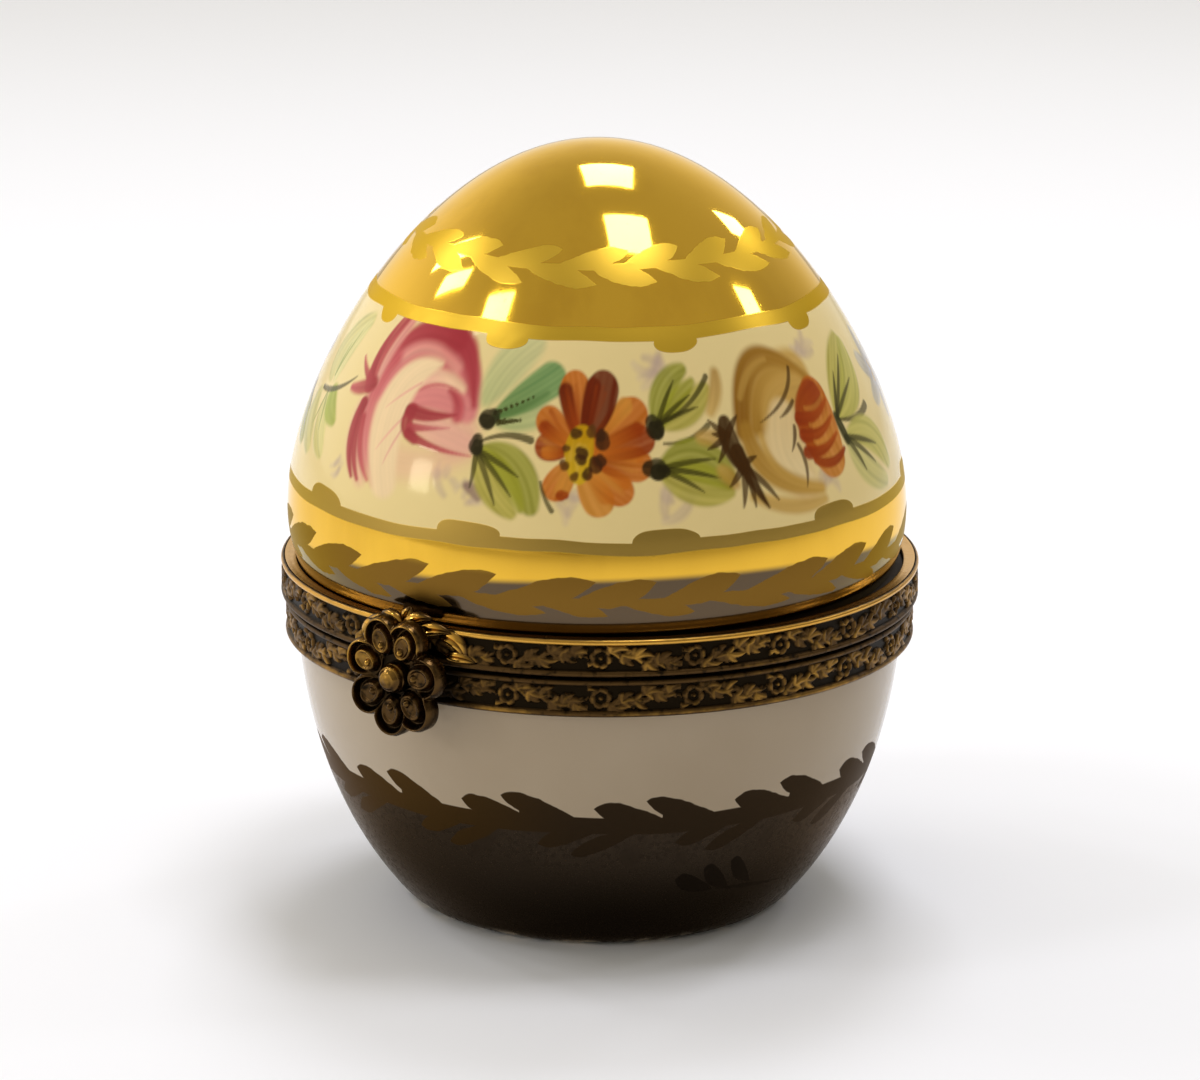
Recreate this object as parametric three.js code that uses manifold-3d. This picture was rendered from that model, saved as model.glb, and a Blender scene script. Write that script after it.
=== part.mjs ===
// A hinged porcelain egg box: two glazed shells, each cemented into a brass rim, joined by a barrel
// hinge at the back (+Y) and shut by a flower clasp at the front (-Y).
// Millimetres, +Z up, standing on its foot with the origin at the middle of the foot.
import * as THREE from "three";
import { mergeVertices } from "three/addons/utils/BufferGeometryUtils.js";
import Module from "manifold-3d";

const wasm = await Module();
wasm.setup();

// Overall proportions
const OVERALL_HEIGHT = 70;
const SEAM_HEIGHT = 28.4; // middle of the joint between the two rims
const SEAM_GAP = 0.3; // daylight between the closed rims
const FIT_GAP = 0.1; // between rings that share one axis, and between flat faces
const SEAT_GAP = 0.3; // between a flat-backed fitting and the round rim it sits on

// Porcelain shells, each part of an egg curve
const EGG_BREADTH = 56.3;
const LID_EGG_TAIL = 5.7; // how far the lid's egg would run below the seam
const LID_EGG_SKEW = 9.65; // how far the belly lies below the middle of the egg
const BASE_EGG_LENGTH = 81;
const BASE_EGG_SLIMMER = 0.8; // how much less broad the base is than the lid
const BASE_EGG_SKEW = 3.6;
const BASE_EGG_TAIL = 7.6; // how far the base's egg would run below the foot
const PORCELAIN_WALL = 2.4;
const LIP_REBATE = 0.7; // step that lets the porcelain lip sit inside its rim
const FLOOR_THICKNESS = 3;
const FLOOR_FILLET = 5;
const FOOT_EDGE = 1.2; // rounding of the foot's outer edge

// Brass rims and mouth liners
const RIM_HEIGHT = 3.4;
const RIM_WALL = 1;
const RIM_BEAD_RADIUS = 0.4; // half-round bead along each edge of a rim
const RIM_FIELD_DEPTH = 0.25; // how far the embossed field lies below the beads
const RIM_COVER = 0.6; // how far a rim laps over the shoulder of its shell
const LID_RIM_CLEARANCE = 0.8; // open groove between the dome and its rim
const BASE_RIM_CLEARANCE = 0.1;
const FLANGE_THICKNESS = 0.6;
const COLLAR_THICKNESS = 0.5;
const COLLAR_HEIGHT = 1.4;

// Barrel hinge
const KNUCKLE_NAMES = [
  "base_knuckle_left",
  "lid_knuckle_left",
  "base_knuckle_middle",
  "lid_knuckle_right",
  "base_knuckle_right",
];
const KNUCKLE_LENGTH = 2.3;
const KNUCKLE_RADIUS = 1.2;
const PIN_RADIUS = 0.5;
const PIN_HEAD_RADIUS = 0.9;
const PIN_HEAD_LENGTH = 0.45;
const LEAF_HEIGHT = 1.9;
const LEAF_STOP = 1; // reach of the leaves behind the pin, where they meet when fully open
const LEAF_ROUNDING = 0.9;

// Flower clasp
const PETAL_COUNT = 7;
const PETAL_RADIUS = 1.8;
const PETAL_HEIGHT = 1.9;
const PETAL_RING_RADIUS = 3.4;
const FLOWER_DROP = 0.9; // middle of the flower below the seam
const FLOWER_PLATE = 0.9;
const EYE_RADIUS = 1.4; // domed rivet head in the middle of the flower
const EYE_HEIGHT = 1.3;
const RIVET_RADIUS = 0.5;
const BRACKET_WIDTH = 4.4;
const BRACKET_HOOK = 0.9; // how far the bracket reaches in over the top of the lid rim
const CREST_HEIGHT = 0.8;
const TONGUE_WIDTH = 3;
const TONGUE_THICKNESS = 0.35;
const TONGUE_REACH = 4; // length of the tongue below the seam
const STUD_RADIUS = 0.9;
const STUD_HEIGHT = 0.45;
const CATCH_GAP = 0.2; // between the stud and the tongue
const STUD_DROP = 2.1; // middle of the catch stud below the seam

// Smoothness of round pieces
const RING_SEGMENTS = 48;
const SMALL_SEGMENTS = 16;

// Heights and radii that follow from the sizes above
const lidBottom = SEAM_HEIGHT + SEAM_GAP / 2;
const lidRimTop = lidBottom + RIM_HEIGHT;
const lidShoulder = lidRimTop - RIM_COVER;
const baseTop = SEAM_HEIGHT - SEAM_GAP / 2;
const baseRimBottom = baseTop - RIM_HEIGHT;
const baseShoulder = baseRimBottom + RIM_COVER;

const lidEggLength = OVERALL_HEIGHT - SEAM_HEIGHT + LID_EGG_TAIL;
const lidEgg = {
  length: lidEggLength,
  breadth: EGG_BREADTH,
  skew: LID_EGG_SKEW,
  middle: OVERALL_HEIGHT - lidEggLength / 2,
};
const baseEgg = {
  length: BASE_EGG_LENGTH,
  breadth: EGG_BREADTH - BASE_EGG_SLIMMER,
  skew: BASE_EGG_SKEW,
  middle: BASE_EGG_LENGTH / 2 - BASE_EGG_TAIL,
};

const lidShell = {
  lipOuter: eggRadius(lidEgg, lidShoulder) - LIP_REBATE,
  lipInner: innerPoint(lidEgg, lidShoulder).x,
  rimInner: eggRadius(lidEgg, lidRimTop) + LID_RIM_CLEARANCE,
};
const baseShell = {
  lipOuter: eggRadius(baseEgg, baseShoulder) - LIP_REBATE,
  lipInner: innerPoint(baseEgg, baseShoulder).x,
  rimInner: eggRadius(baseEgg, baseShoulder) + BASE_RIM_CLEARANCE,
};
const lidRimOuter = lidShell.rimInner + RIM_WALL;
const baseRimOuter = baseShell.rimInner + RIM_WALL;
const widestRim = Math.max(lidRimOuter, baseRimOuter);

// Colours and finishes
function finish(color, roughness, metalness) {
  return new THREE.MeshStandardMaterial({ color, roughness, metalness });
}
const LID_GLAZE = ["#c9a23a", 0.18, 0.6];
const BASE_GLAZE = ["#d8cbb6", 0.15, 0.1];
const AGED_BRASS = ["#6e5a32", 0.42, 1];
const BRIGHT_BRASS = ["#b89348", 0.3, 1];
const PIN_BRASS = ["#94783e", 0.35, 1];
const CEMENT = ["#4a4034", 0.9, 0];

const box = new THREE.Group();
box.name = "porcelain_egg_box";

function addPiece(name, geometry, look) {
  const mesh = new THREE.Mesh(geometry, finish(...look));
  mesh.name = name;
  box.add(mesh);
}

// Radius of an egg curve at height z
function eggRadius(egg, z) {
  const x = z - egg.middle;
  const top = egg.length ** 2 - 4 * x ** 2;
  const bottom = egg.length ** 2 + 8 * egg.skew * x + 4 * egg.skew ** 2;
  return (egg.breadth / 2) * Math.sqrt(Math.max(0, top) / bottom);
}

// Point on the inside of the shell, one wall thickness in from the outside at height z
function innerPoint(egg, z) {
  const step = 0.01;
  const rise = eggRadius(egg, z + step) - eggRadius(egg, z - step);
  const length = Math.hypot(rise, 2 * step);
  const outward = (2 * step) / length;
  const upward = -rise / length;
  return new THREE.Vector2(
    eggRadius(egg, z) - PORCELAIN_WALL * outward,
    z - PORCELAIN_WALL * upward,
  );
}

// Heights along an egg curve from one height to another, closer together towards the ends of the egg
function eggHeights(egg, from, to, steps) {
  const half = egg.length / 2;
  const angleAt = (z) => Math.asin(THREE.MathUtils.clamp((z - egg.middle) / half, -1, 1));
  const start = angleAt(from);
  const end = angleAt(to);
  return Array.from({ length: steps + 1 }, (_, i) => {
    return egg.middle + half * Math.sin(start + ((end - start) * i) / steps);
  });
}

function curvePoints(start, bend, end, steps) {
  const curve = new THREE.QuadraticBezierCurve(start, bend, end);
  return curve.getPoints(steps);
}

function at(radius, height) {
  return new THREE.Vector2(radius, height);
}

// Turn a profile about the Z axis. A ring's profile is closed by repeating its first point.
function turned(profile, segments = RING_SEGMENTS) {
  const lathe = new THREE.LatheGeometry(profile, segments);
  lathe.deleteAttribute("uv");
  lathe.deleteAttribute("normal");
  lathe.rotateX(Math.PI / 2);
  return mergeVertices(lathe, 1e-4);
}

function ring(profile, segments) {
  return turned([...profile, profile[0]], segments);
}

// Turn a profile about an axis that points out of the front of the box
function turnedToFront(profile, segments = SMALL_SEGMENTS) {
  return turned(profile, segments).rotateX(Math.PI / 2);
}

// Solids for adding and cutting
function solid(geometry) {
  const clean = geometry.clone();
  clean.deleteAttribute("uv");
  clean.deleteAttribute("normal");
  const merged = mergeVertices(clean, 1e-4);
  const mesh = new wasm.Mesh({
    numProp: 3,
    vertProperties: new Float32Array(merged.attributes.position.array),
    triVerts: new Uint32Array(merged.index.array),
  });
  mesh.merge();
  return new wasm.Manifold(mesh);
}

function geometryOf(body) {
  const mesh = body.getMesh();
  const geometry = new THREE.BufferGeometry();
  geometry.setAttribute("position", new THREE.BufferAttribute(mesh.vertProperties, 3));
  geometry.setIndex(new THREE.BufferAttribute(mesh.triVerts, 1));
  return geometry;
}

// Plain disc about the Z axis, used as a cutter
function disc(radius, low, high, segments) {
  return solid(turned([at(0, low), at(radius, low), at(radius, high), at(0, high)], segments));
}

// A side outline, drawn as depth (Y) and height (Z), drawn out along X and centred
function drawnAlongX(outline, width) {
  const shape = new THREE.Shape(outline);
  const plate = new THREE.ExtrudeGeometry(shape, { depth: width, bevelEnabled: false });
  plate.translate(0, 0, -width / 2);
  const toAxes = new THREE.Matrix4().set(0, 0, 1, 0, 1, 0, 0, 0, 0, 1, 0, 0, 0, 0, 0, 1);
  return plate.applyMatrix4(toAxes);
}

// Porcelain dome, drawn from the top of its hollow down to the lip and up the outside
function makeLidShell() {
  const lipBottom = lidBottom + FLANGE_THICKNESS + FIT_GAP;
  const inside = eggHeights(lidEgg, OVERALL_HEIGHT, lidShoulder, 10);
  const outside = eggHeights(lidEgg, lidShoulder, OVERALL_HEIGHT, 13);
  const profile = [
    at(0, OVERALL_HEIGHT - PORCELAIN_WALL),
    ...inside.slice(1).map((z) => innerPoint(lidEgg, z)),
    at(lidShell.lipInner, lipBottom),
    at(lidShell.lipOuter, lipBottom),
    at(lidShell.lipOuter, lidShoulder),
    ...outside.slice(0, -1).map((z) => at(eggRadius(lidEgg, z), z)),
    at(0, OVERALL_HEIGHT),
  ];
  addPiece("lid_shell", turned(profile), LID_GLAZE);
}

// Porcelain cup with a flat foot
function makeBaseShell() {
  const lipTop = baseTop - FLANGE_THICKNESS - FIT_GAP;
  const footRadius = eggRadius(baseEgg, 0);
  const edgeRadius = eggRadius(baseEgg, FOOT_EDGE);
  const outside = eggHeights(baseEgg, FOOT_EDGE, baseShoulder, 10);
  const lowest = FLOOR_THICKNESS + PORCELAIN_WALL / 2;
  const inside = eggHeights(baseEgg, baseShoulder, lowest, 8).map((z) => innerPoint(baseEgg, z));
  const last = inside[inside.length - 1];
  const before = inside[inside.length - 2];
  const slope = (before.x - last.x) / (before.y - last.y);
  const corner = at(last.x - (last.y - FLOOR_THICKNESS) * slope, FLOOR_THICKNESS);
  const floorEdge = at(corner.x - FLOOR_FILLET, FLOOR_THICKNESS);
  const profile = [
    at(0, 0),
    ...curvePoints(at(footRadius - FOOT_EDGE, 0), at(footRadius, 0), at(edgeRadius, FOOT_EDGE), 4),
    ...outside.slice(1).map((z) => at(eggRadius(baseEgg, z), z)),
    at(baseShell.lipOuter, baseShoulder),
    at(baseShell.lipOuter, lipTop),
    at(baseShell.lipInner, lipTop),
    ...inside.slice(0, -1),
    ...curvePoints(last, corner, floorEdge, 4),
    at(0, FLOOR_THICKNESS),
  ];
  addPiece("base_shell", turned(profile), BASE_GLAZE);
}

// Embossed band with a bead along each edge
function makeRim(name, inner, low, look) {
  const outer = inner + RIM_WALL;
  const high = low + RIM_HEIGHT;
  const field = outer - RIM_FIELD_DEPTH;
  const beadSteps = 4;
  const bead = (middle) => {
    return Array.from({ length: beadSteps + 1 }, (_, i) => {
      const angle = (i / beadSteps - 0.5) * Math.PI;
      const radius = outer - RIM_BEAD_RADIUS + RIM_BEAD_RADIUS * Math.cos(angle);
      return at(radius, middle + RIM_BEAD_RADIUS * Math.sin(angle));
    });
  };
  const profile = [
    at(inner, low),
    ...bead(low + RIM_BEAD_RADIUS).slice(0, -1),
    at(field, low + 2 * RIM_BEAD_RADIUS),
    at(field, high - 2 * RIM_BEAD_RADIUS),
    ...bead(high - RIM_BEAD_RADIUS).slice(1),
    at(inner, high),
  ];
  addPiece(name, ring(profile), look);
}

// Flange over the porcelain lip with a collar that lines the mouth. Direction is +1 up, -1 down.
function makeLiner(name, shell, face, direction) {
  const collarOuter = shell.lipInner - FIT_GAP;
  const collarInner = collarOuter - COLLAR_THICKNESS;
  const flangeOuter = shell.rimInner - FIT_GAP;
  const flangeBack = face + direction * FLANGE_THICKNESS;
  const collarEnd = flangeBack + direction * COLLAR_HEIGHT;
  const profile = [
    at(collarInner, face),
    at(flangeOuter, face),
    at(flangeOuter, flangeBack),
    at(collarOuter, flangeBack),
    at(collarOuter, collarEnd),
    at(collarInner, collarEnd),
  ];
  addPiece(name, ring(direction > 0 ? profile : profile.reverse()), BRIGHT_BRASS);
}

// Setting cement that fills the space between a lip and its rim
function makeCement(name, shell, low, high) {
  const inner = shell.lipOuter + FIT_GAP;
  const outer = shell.rimInner - FIT_GAP;
  addPiece(name, ring([at(inner, low), at(outer, low), at(outer, high), at(inner, high)]), CEMENT);
}

// Barrel hinge: the pin lies behind the widest rim, at the height of the seam
const pinDepth = widestRim + FIT_GAP + KNUCKLE_RADIUS;
const knucklePitch = KNUCKLE_LENGTH + FIT_GAP;
const hingeLength = KNUCKLE_NAMES.length * knucklePitch - FIT_GAP;

function ontoPin(geometry, x) {
  return geometry.rotateY(Math.PI / 2).translate(x, pinDepth, SEAM_HEIGHT);
}

function makeKnuckles() {
  const bore = PIN_RADIUS + FIT_GAP;
  const half = KNUCKLE_LENGTH / 2;
  for (const [i, name] of KNUCKLE_NAMES.entries()) {
    const x = (i - (KNUCKLE_NAMES.length - 1) / 2) * knucklePitch;
    const tube = ring(
      [at(bore, -half), at(KNUCKLE_RADIUS, -half), at(KNUCKLE_RADIUS, half), at(bore, half)],
      SMALL_SEGMENTS,
    );
    addPiece(name, ontoPin(tube, x), AGED_BRASS);
  }
}

function makePin() {
  const seat = hingeLength / 2 + FIT_GAP;
  const end = seat + PIN_HEAD_LENGTH;
  const headEdge = PIN_HEAD_RADIUS * 0.6;
  const profile = [
    at(0, -end),
    at(headEdge, -end),
    at(PIN_HEAD_RADIUS, -seat - PIN_HEAD_LENGTH / 3),
    at(PIN_HEAD_RADIUS, -seat),
    at(PIN_RADIUS, -seat),
    at(PIN_RADIUS, seat),
    at(PIN_HEAD_RADIUS, seat),
    at(PIN_HEAD_RADIUS, seat + PIN_HEAD_LENGTH / 3),
    at(headEdge, end),
    at(0, end),
  ];
  addPiece("hinge_pin", ontoPin(turned(profile, SMALL_SEGMENTS), 0), PIN_BRASS);
}

// Leaf soldered to the back of a rim, hollowed to sit round it. Direction is +1 up, -1 down.
function makeLeaf(name, rimOuter, direction) {
  const near = SEAM_HEIGHT + direction * (KNUCKLE_RADIUS + FIT_GAP);
  const far = near + direction * LEAF_HEIGHT;
  const back = pinDepth + LEAF_STOP;
  const front = rimOuter - hingeLength / 2;
  const rounded = curvePoints(
    at(back, far - direction * LEAF_ROUNDING),
    at(back, far),
    at(back - LEAF_ROUNDING, far),
    3,
  );
  const outline = [at(front, near), at(back, near), ...rounded, at(front, far)];
  const block = solid(drawnAlongX(outline, hingeLength));
  const rim = disc(rimOuter + SEAT_GAP, 0, OVERALL_HEIGHT);
  addPiece(name, geometryOf(block.subtract(rim)), AGED_BRASS);
}

// Flower clasp, with depths measured out from the axis of the box
const studFoot = baseRimOuter + FIT_GAP;
const tongueBack = widestRim + FIT_GAP + STUD_HEIGHT + CATCH_GAP;
const tongueFront = tongueBack + TONGUE_THICKNESS;
const bracketFront = tongueFront;
const flowerBack = tongueFront + FIT_GAP;
const flowerHeight = SEAM_HEIGHT - FLOWER_DROP;

function onFront(geometry, x, depth, height) {
  return geometry.translate(x, -depth, height);
}

function rivetHole() {
  const reach = widestRim + 10;
  const rod = [at(0, 0), at(RIVET_RADIUS + FIT_GAP, 0), at(RIVET_RADIUS + FIT_GAP, reach), at(0, reach)];
  return solid(onFront(turnedToFront(rod), 0, 0, flowerHeight));
}

// Cupped petal: a raised edge, a hollow and a ball in the middle
function petalProfile() {
  const r = PETAL_RADIUS;
  const h = PETAL_HEIGHT;
  return [
    at(0, 0),
    at(r * 0.9, 0),
    at(r, h * 0.25),
    at(r * 0.95, h * 0.62),
    at(r * 0.8, h * 0.72),
    at(r * 0.62, h * 0.55),
    at(r * 0.42, h * 0.72),
    at(r * 0.25, h * 0.95),
    at(0, h),
  ];
}

function makeFlower() {
  const plateRadius = PETAL_RING_RADIUS;
  const plate = [at(0, 0), at(plateRadius, 0), at(plateRadius, FLOWER_PLATE), at(0, FLOWER_PLATE)];
  let flower = solid(onFront(turnedToFront(plate), 0, flowerBack, flowerHeight));
  for (let i = 0; i < PETAL_COUNT; i += 1) {
    const angle = (2 * Math.PI * i) / PETAL_COUNT;
    const x = PETAL_RING_RADIUS * Math.sin(angle);
    const z = flowerHeight - PETAL_RING_RADIUS * Math.cos(angle);
    flower = flower.add(solid(onFront(turnedToFront(petalProfile()), x, flowerBack, z)));
  }
  const eyeSeat = EYE_RADIUS + FIT_GAP;
  const eyeTop = FLOWER_PLATE + PETAL_HEIGHT;
  const seat = [at(0, FLOWER_PLATE), at(eyeSeat, FLOWER_PLATE), at(eyeSeat, eyeTop), at(0, eyeTop)];
  flower = flower.subtract(solid(onFront(turnedToFront(seat), 0, flowerBack, flowerHeight)));
  addPiece("clasp_flower", geometryOf(flower.subtract(rivetHole())), AGED_BRASS);
}

// Rivet with a domed head at the front and a small peened head behind the tongue
function makeRivet() {
  const headSeat = flowerBack + FLOWER_PLATE + FIT_GAP;
  const tailSeat = tongueBack - FIT_GAP;
  const tail = tailSeat - TONGUE_THICKNESS / 2;
  const tailRadius = RIVET_RADIUS * 1.6;
  const dome = curvePoints(
    at(EYE_RADIUS, headSeat),
    at(EYE_RADIUS, headSeat + EYE_HEIGHT),
    at(0, headSeat + EYE_HEIGHT),
    5,
  );
  const profile = [
    at(0, tail),
    at(tailRadius, tail),
    at(tailRadius, tailSeat),
    at(RIVET_RADIUS, tailSeat),
    at(RIVET_RADIUS, headSeat),
    ...dome,
  ];
  addPiece("clasp_rivet", onFront(turnedToFront(profile), 0, 0, flowerHeight), BRIGHT_BRASS);
}

// Bracket with a crest that hooks over the top of the lid rim
function makeBracket() {
  const low = lidBottom + 2 * FIT_GAP + TONGUE_THICKNESS;
  const rimSeat = lidRimOuter + SEAT_GAP;
  const over = lidRimTop + SEAT_GAP;
  const hookEnd = rimSeat - SEAT_GAP - BRACKET_HOOK;
  const outline = [
    at(-bracketFront, low),
    at(-(rimSeat - 1), low),
    at(-(rimSeat - 1), over),
    at(-hookEnd, over),
    at(-hookEnd, over + CREST_HEIGHT / 2),
    ...curvePoints(
      at(-hookEnd - BRACKET_HOOK / 2, over + CREST_HEIGHT),
      at(-bracketFront, over + CREST_HEIGHT),
      at(-bracketFront, over - CREST_HEIGHT),
      4,
    ),
  ];
  const block = solid(drawnAlongX(outline, BRACKET_WIDTH));
  addPiece("clasp_bracket", geometryOf(block.subtract(disc(rimSeat, 0, over))), AGED_BRASS);
}

// Spring strip that hangs behind the flower
function makeTongue() {
  const high = lidBottom + FIT_GAP + TONGUE_THICKNESS;
  const low = SEAM_HEIGHT - TONGUE_REACH;
  const outline = [
    at(-tongueBack, low),
    at(-tongueFront, low),
    at(-tongueFront, high),
    at(-tongueBack, high),
  ];
  const strip = solid(drawnAlongX(outline, TONGUE_WIDTH));
  addPiece("clasp_tongue", geometryOf(strip.subtract(rivetHole())), BRIGHT_BRASS);
}

// Domed stud on the front of the base rim, behind the tongue
function makeStud() {
  const dome = curvePoints(at(STUD_RADIUS, 0), at(STUD_RADIUS, STUD_HEIGHT), at(0, STUD_HEIGHT), 4);
  const stud = turnedToFront([at(0, 0), ...dome]);
  addPiece("catch_stud", onFront(stud, 0, studFoot, SEAM_HEIGHT - STUD_DROP), BRIGHT_BRASS);
}

makeBaseShell();
makeCement("base_cement", baseShell, baseShoulder + FIT_GAP, baseTop - FLANGE_THICKNESS - FIT_GAP);
makeRim("base_rim", baseShell.rimInner, baseRimBottom, AGED_BRASS);
makeLiner("base_liner", baseShell, baseTop, -1);
makeLidShell();
makeCement("lid_cement", lidShell, lidBottom + FLANGE_THICKNESS + FIT_GAP, lidShoulder - FIT_GAP);
makeRim("lid_rim", lidShell.rimInner, lidBottom, AGED_BRASS);
makeLiner("lid_liner", lidShell, lidBottom, 1);
makeKnuckles();
makePin();
makeLeaf("base_hinge_leaf", baseRimOuter, -1);
makeLeaf("lid_hinge_leaf", lidRimOuter, 1);
makeBracket();
makeFlower();
makeTongue();
makeRivet();
makeStud();

export default box;
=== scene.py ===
# %% [markdown]
# # A porcelain egg box
# The object is a small hinged box in the shape of an egg: a gilded porcelain dome over a porcelain cup,
# each set in an embossed brass rim. The solid model gives the exact places and the moving bodies.
# This notebook dresses it: smooth glazed shells, hand-painted flowers, worn brass and soft light.

import math
from functools import partial

import bpy
import numpy as np
from mathutils import Matrix, Quaternion, Vector


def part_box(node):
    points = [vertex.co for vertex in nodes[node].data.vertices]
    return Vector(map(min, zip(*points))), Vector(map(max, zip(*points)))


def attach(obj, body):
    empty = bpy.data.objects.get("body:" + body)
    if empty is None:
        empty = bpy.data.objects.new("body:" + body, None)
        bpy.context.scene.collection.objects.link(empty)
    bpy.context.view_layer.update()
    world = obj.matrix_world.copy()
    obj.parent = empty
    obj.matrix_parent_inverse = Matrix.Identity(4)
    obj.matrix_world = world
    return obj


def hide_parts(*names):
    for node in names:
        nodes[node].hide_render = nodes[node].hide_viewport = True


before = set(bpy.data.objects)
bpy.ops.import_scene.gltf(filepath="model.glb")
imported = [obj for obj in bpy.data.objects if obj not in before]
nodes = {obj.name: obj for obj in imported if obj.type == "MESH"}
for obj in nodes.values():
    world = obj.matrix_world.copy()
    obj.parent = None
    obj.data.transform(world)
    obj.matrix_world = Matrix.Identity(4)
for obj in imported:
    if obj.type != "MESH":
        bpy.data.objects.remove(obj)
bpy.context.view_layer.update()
MM = 0.001

# %% [markdown]
# ## Camera
# The photograph was taken from close by, a little above the rim and to the right of the clasp.
# A long lens at less than half a metre gives the same gentle perspective on the two rims.

# %% Camera
CAMERA_TURN = 34.6
CAMERA_RISE = 15.35
CAMERA_ROLL = 0.37
CAMERA_DISTANCE = 450 * MM
CAMERA_LENS = 147.8
AIM = Vector((0, 0, 32.9 * MM))


def direction(turn, rise):
    """Unit vector from the egg outwards. Turn 0 is the side of the clasp, in degrees."""
    t = math.radians(turn)
    r = math.radians(rise)
    return Vector((math.sin(t) * math.cos(r), -math.cos(t) * math.cos(r), math.sin(r)))


def make_camera():
    camera = bpy.data.objects.new("camera", bpy.data.cameras.new("camera"))
    bpy.context.scene.collection.objects.link(camera)
    towards = direction(CAMERA_TURN, CAMERA_RISE)
    camera.location = AIM + towards * CAMERA_DISTANCE
    camera.rotation_mode = "QUATERNION"
    roll = Quaternion((0, 0, 1), math.radians(CAMERA_ROLL))
    camera.rotation_quaternion = (-towards).to_track_quat("-Z", "Y") @ roll
    camera.data.lens = CAMERA_LENS
    camera.data.clip_start = 10 * MM
    bpy.context.scene.camera = camera
    return camera


camera = make_camera()
bpy.context.scene.view_settings.view_transform = "Standard"
print("camera at", [round(v, 3) for v in camera.location])

# %% [markdown]
# ## Node helpers
# Every finish below is a node tree. A tree could be drawn by hand in the shader editor, but a script can be
# run again. A few small helpers keep it readable: they add a node, fill its inputs with values or links, and
# do sums.


# %% Node helpers
def linear(hex_colour):
    """A web colour as the linear RGBA that shader sockets expect."""
    parts = [int(hex_colour[i : i + 2], 16) / 255 for i in (1, 3, 5)]
    line = [p / 12.92 if p <= 0.04045 else ((p + 0.055) / 1.055) ** 2.4 for p in parts]
    return (*line, 1.0)


def put(tree, socket, value):
    """Link the socket if the value comes from a node, or else set it."""
    if isinstance(value, bpy.types.NodeSocket):
        tree.links.new(value, socket)
    else:
        socket.default_value = value


def feed(tree, node, **inputs):
    """Set or link a node's inputs by name. Underscores stand for spaces."""
    for key, value in inputs.items():
        put(tree, node.inputs[key.replace("_", " ")], value)


def add_node(tree, kind, inputs=None, **settings):
    """Add a node, set its properties, and fill its inputs with values or links."""
    node = tree.nodes.new(kind)
    for key, value in settings.items():
        setattr(node, key, value)
    for key, value in (inputs or {}).items():
        put(tree, node.inputs[key], value)
    return node


def calc(tree, operation, *values, clamp=False):
    """One Math node, such as calc(tree, "ADD", a, b). Clamp keeps its result between 0 and 1."""
    inputs = dict(enumerate(values))
    return add_node(tree, "ShaderNodeMath", inputs, operation=operation, use_clamp=clamp).outputs[0]


def times(tree, first, *others):
    """Product of several values or masks."""
    for other in others:
        first = calc(tree, "MULTIPLY", first, other)
    return first


def any_of(tree, first, *others):
    """Largest of several masks."""
    for other in others:
        first = calc(tree, "MAXIMUM", first, other)
    return first


# %% [markdown]
# ## Mixing and masks
# A finish goes from one colour to another by a mask, which is a number from 0 to 1 at each point. Masks come
# from soft steps over a height or over noise, so these four helpers are all that most finishes need.


# %% Mask helpers
def mixed(tree, mask, low, high):
    """Colour that goes from low to high as the mask goes from 0 to 1."""
    return add_node(tree, "ShaderNodeMix", {0: mask, 6: low, 7: high}, data_type="RGBA").outputs[2]


def between(tree, mask, low, high):
    """Number that goes from low to high as the mask goes from 0 to 1."""
    return add_node(tree, "ShaderNodeMapRange", {0: mask, 3: low, 4: high}).outputs[0]


def smooth_mask(tree, value, start, end):
    """Mask that rises softly from 0 to 1 while the value goes from start to end."""
    inputs = {0: value, 1: start, 2: end}
    return add_node(tree, "ShaderNodeMapRange", inputs, interpolation_type="SMOOTHSTEP").outputs[0]


def noise(tree, scale, detail=2.0, vector=None):
    """Soft grain in the piece's own space. The scale is in bumps per metre."""
    if vector is None:
        vector = add_node(tree, "ShaderNodeTexCoord").outputs["Object"]
    inputs = {"Vector": vector, "Scale": scale, "Detail": detail}
    return add_node(tree, "ShaderNodeTexNoise", inputs).outputs[0]


# %% [markdown]
# ## Groups and materials
# An effect that several finishes share, such as dust or a row of leaves, is a node group with named inputs
# and outputs. It is built once, and each material places it with its own values.


# %% Group helpers
def new_group(name, inputs, outputs):
    """Empty node group with named float inputs and outputs."""
    group = bpy.data.node_groups.new(name, "ShaderNodeTree")
    for label, default in inputs.items():
        socket = group.interface.new_socket(label, in_out="INPUT", socket_type="NodeSocketFloat")
        socket.default_value = default
    for label in outputs:
        group.interface.new_socket(label, in_out="OUTPUT", socket_type="NodeSocketFloat")
    return group, group.nodes.new("NodeGroupInput").outputs, group.nodes.new("NodeGroupOutput")


def grouped(tree, group, **inputs):
    """Add a group node, fill its inputs by name, and return its outputs."""
    node = add_node(tree, "ShaderNodeGroup", node_tree=group)
    feed(tree, node, **inputs)
    return node.outputs


def new_material(name):
    """A material with its Principled BSDF, ready for node inputs."""
    material = bpy.data.materials.new(name)
    material.use_nodes = True
    return material, material.node_tree, material.node_tree.nodes["Principled BSDF"]


# %% [markdown]
# ## Floor and light
# Polished gold shows whatever is round it, so the light is what it reflects. The floor is one large pale
# plane with a faint mottle. It takes the soft shadow of the egg and lights the dark base from below.

# %% Floor
FLOOR_SIZE = 6.0
FLOOR_PALE = linear("#f1f0ee")
FLOOR_PALER = linear("#f6f5f3")
FLOOR_ROUGHNESS = 0.7
FLOOR_MOTTLE = 3.0


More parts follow.
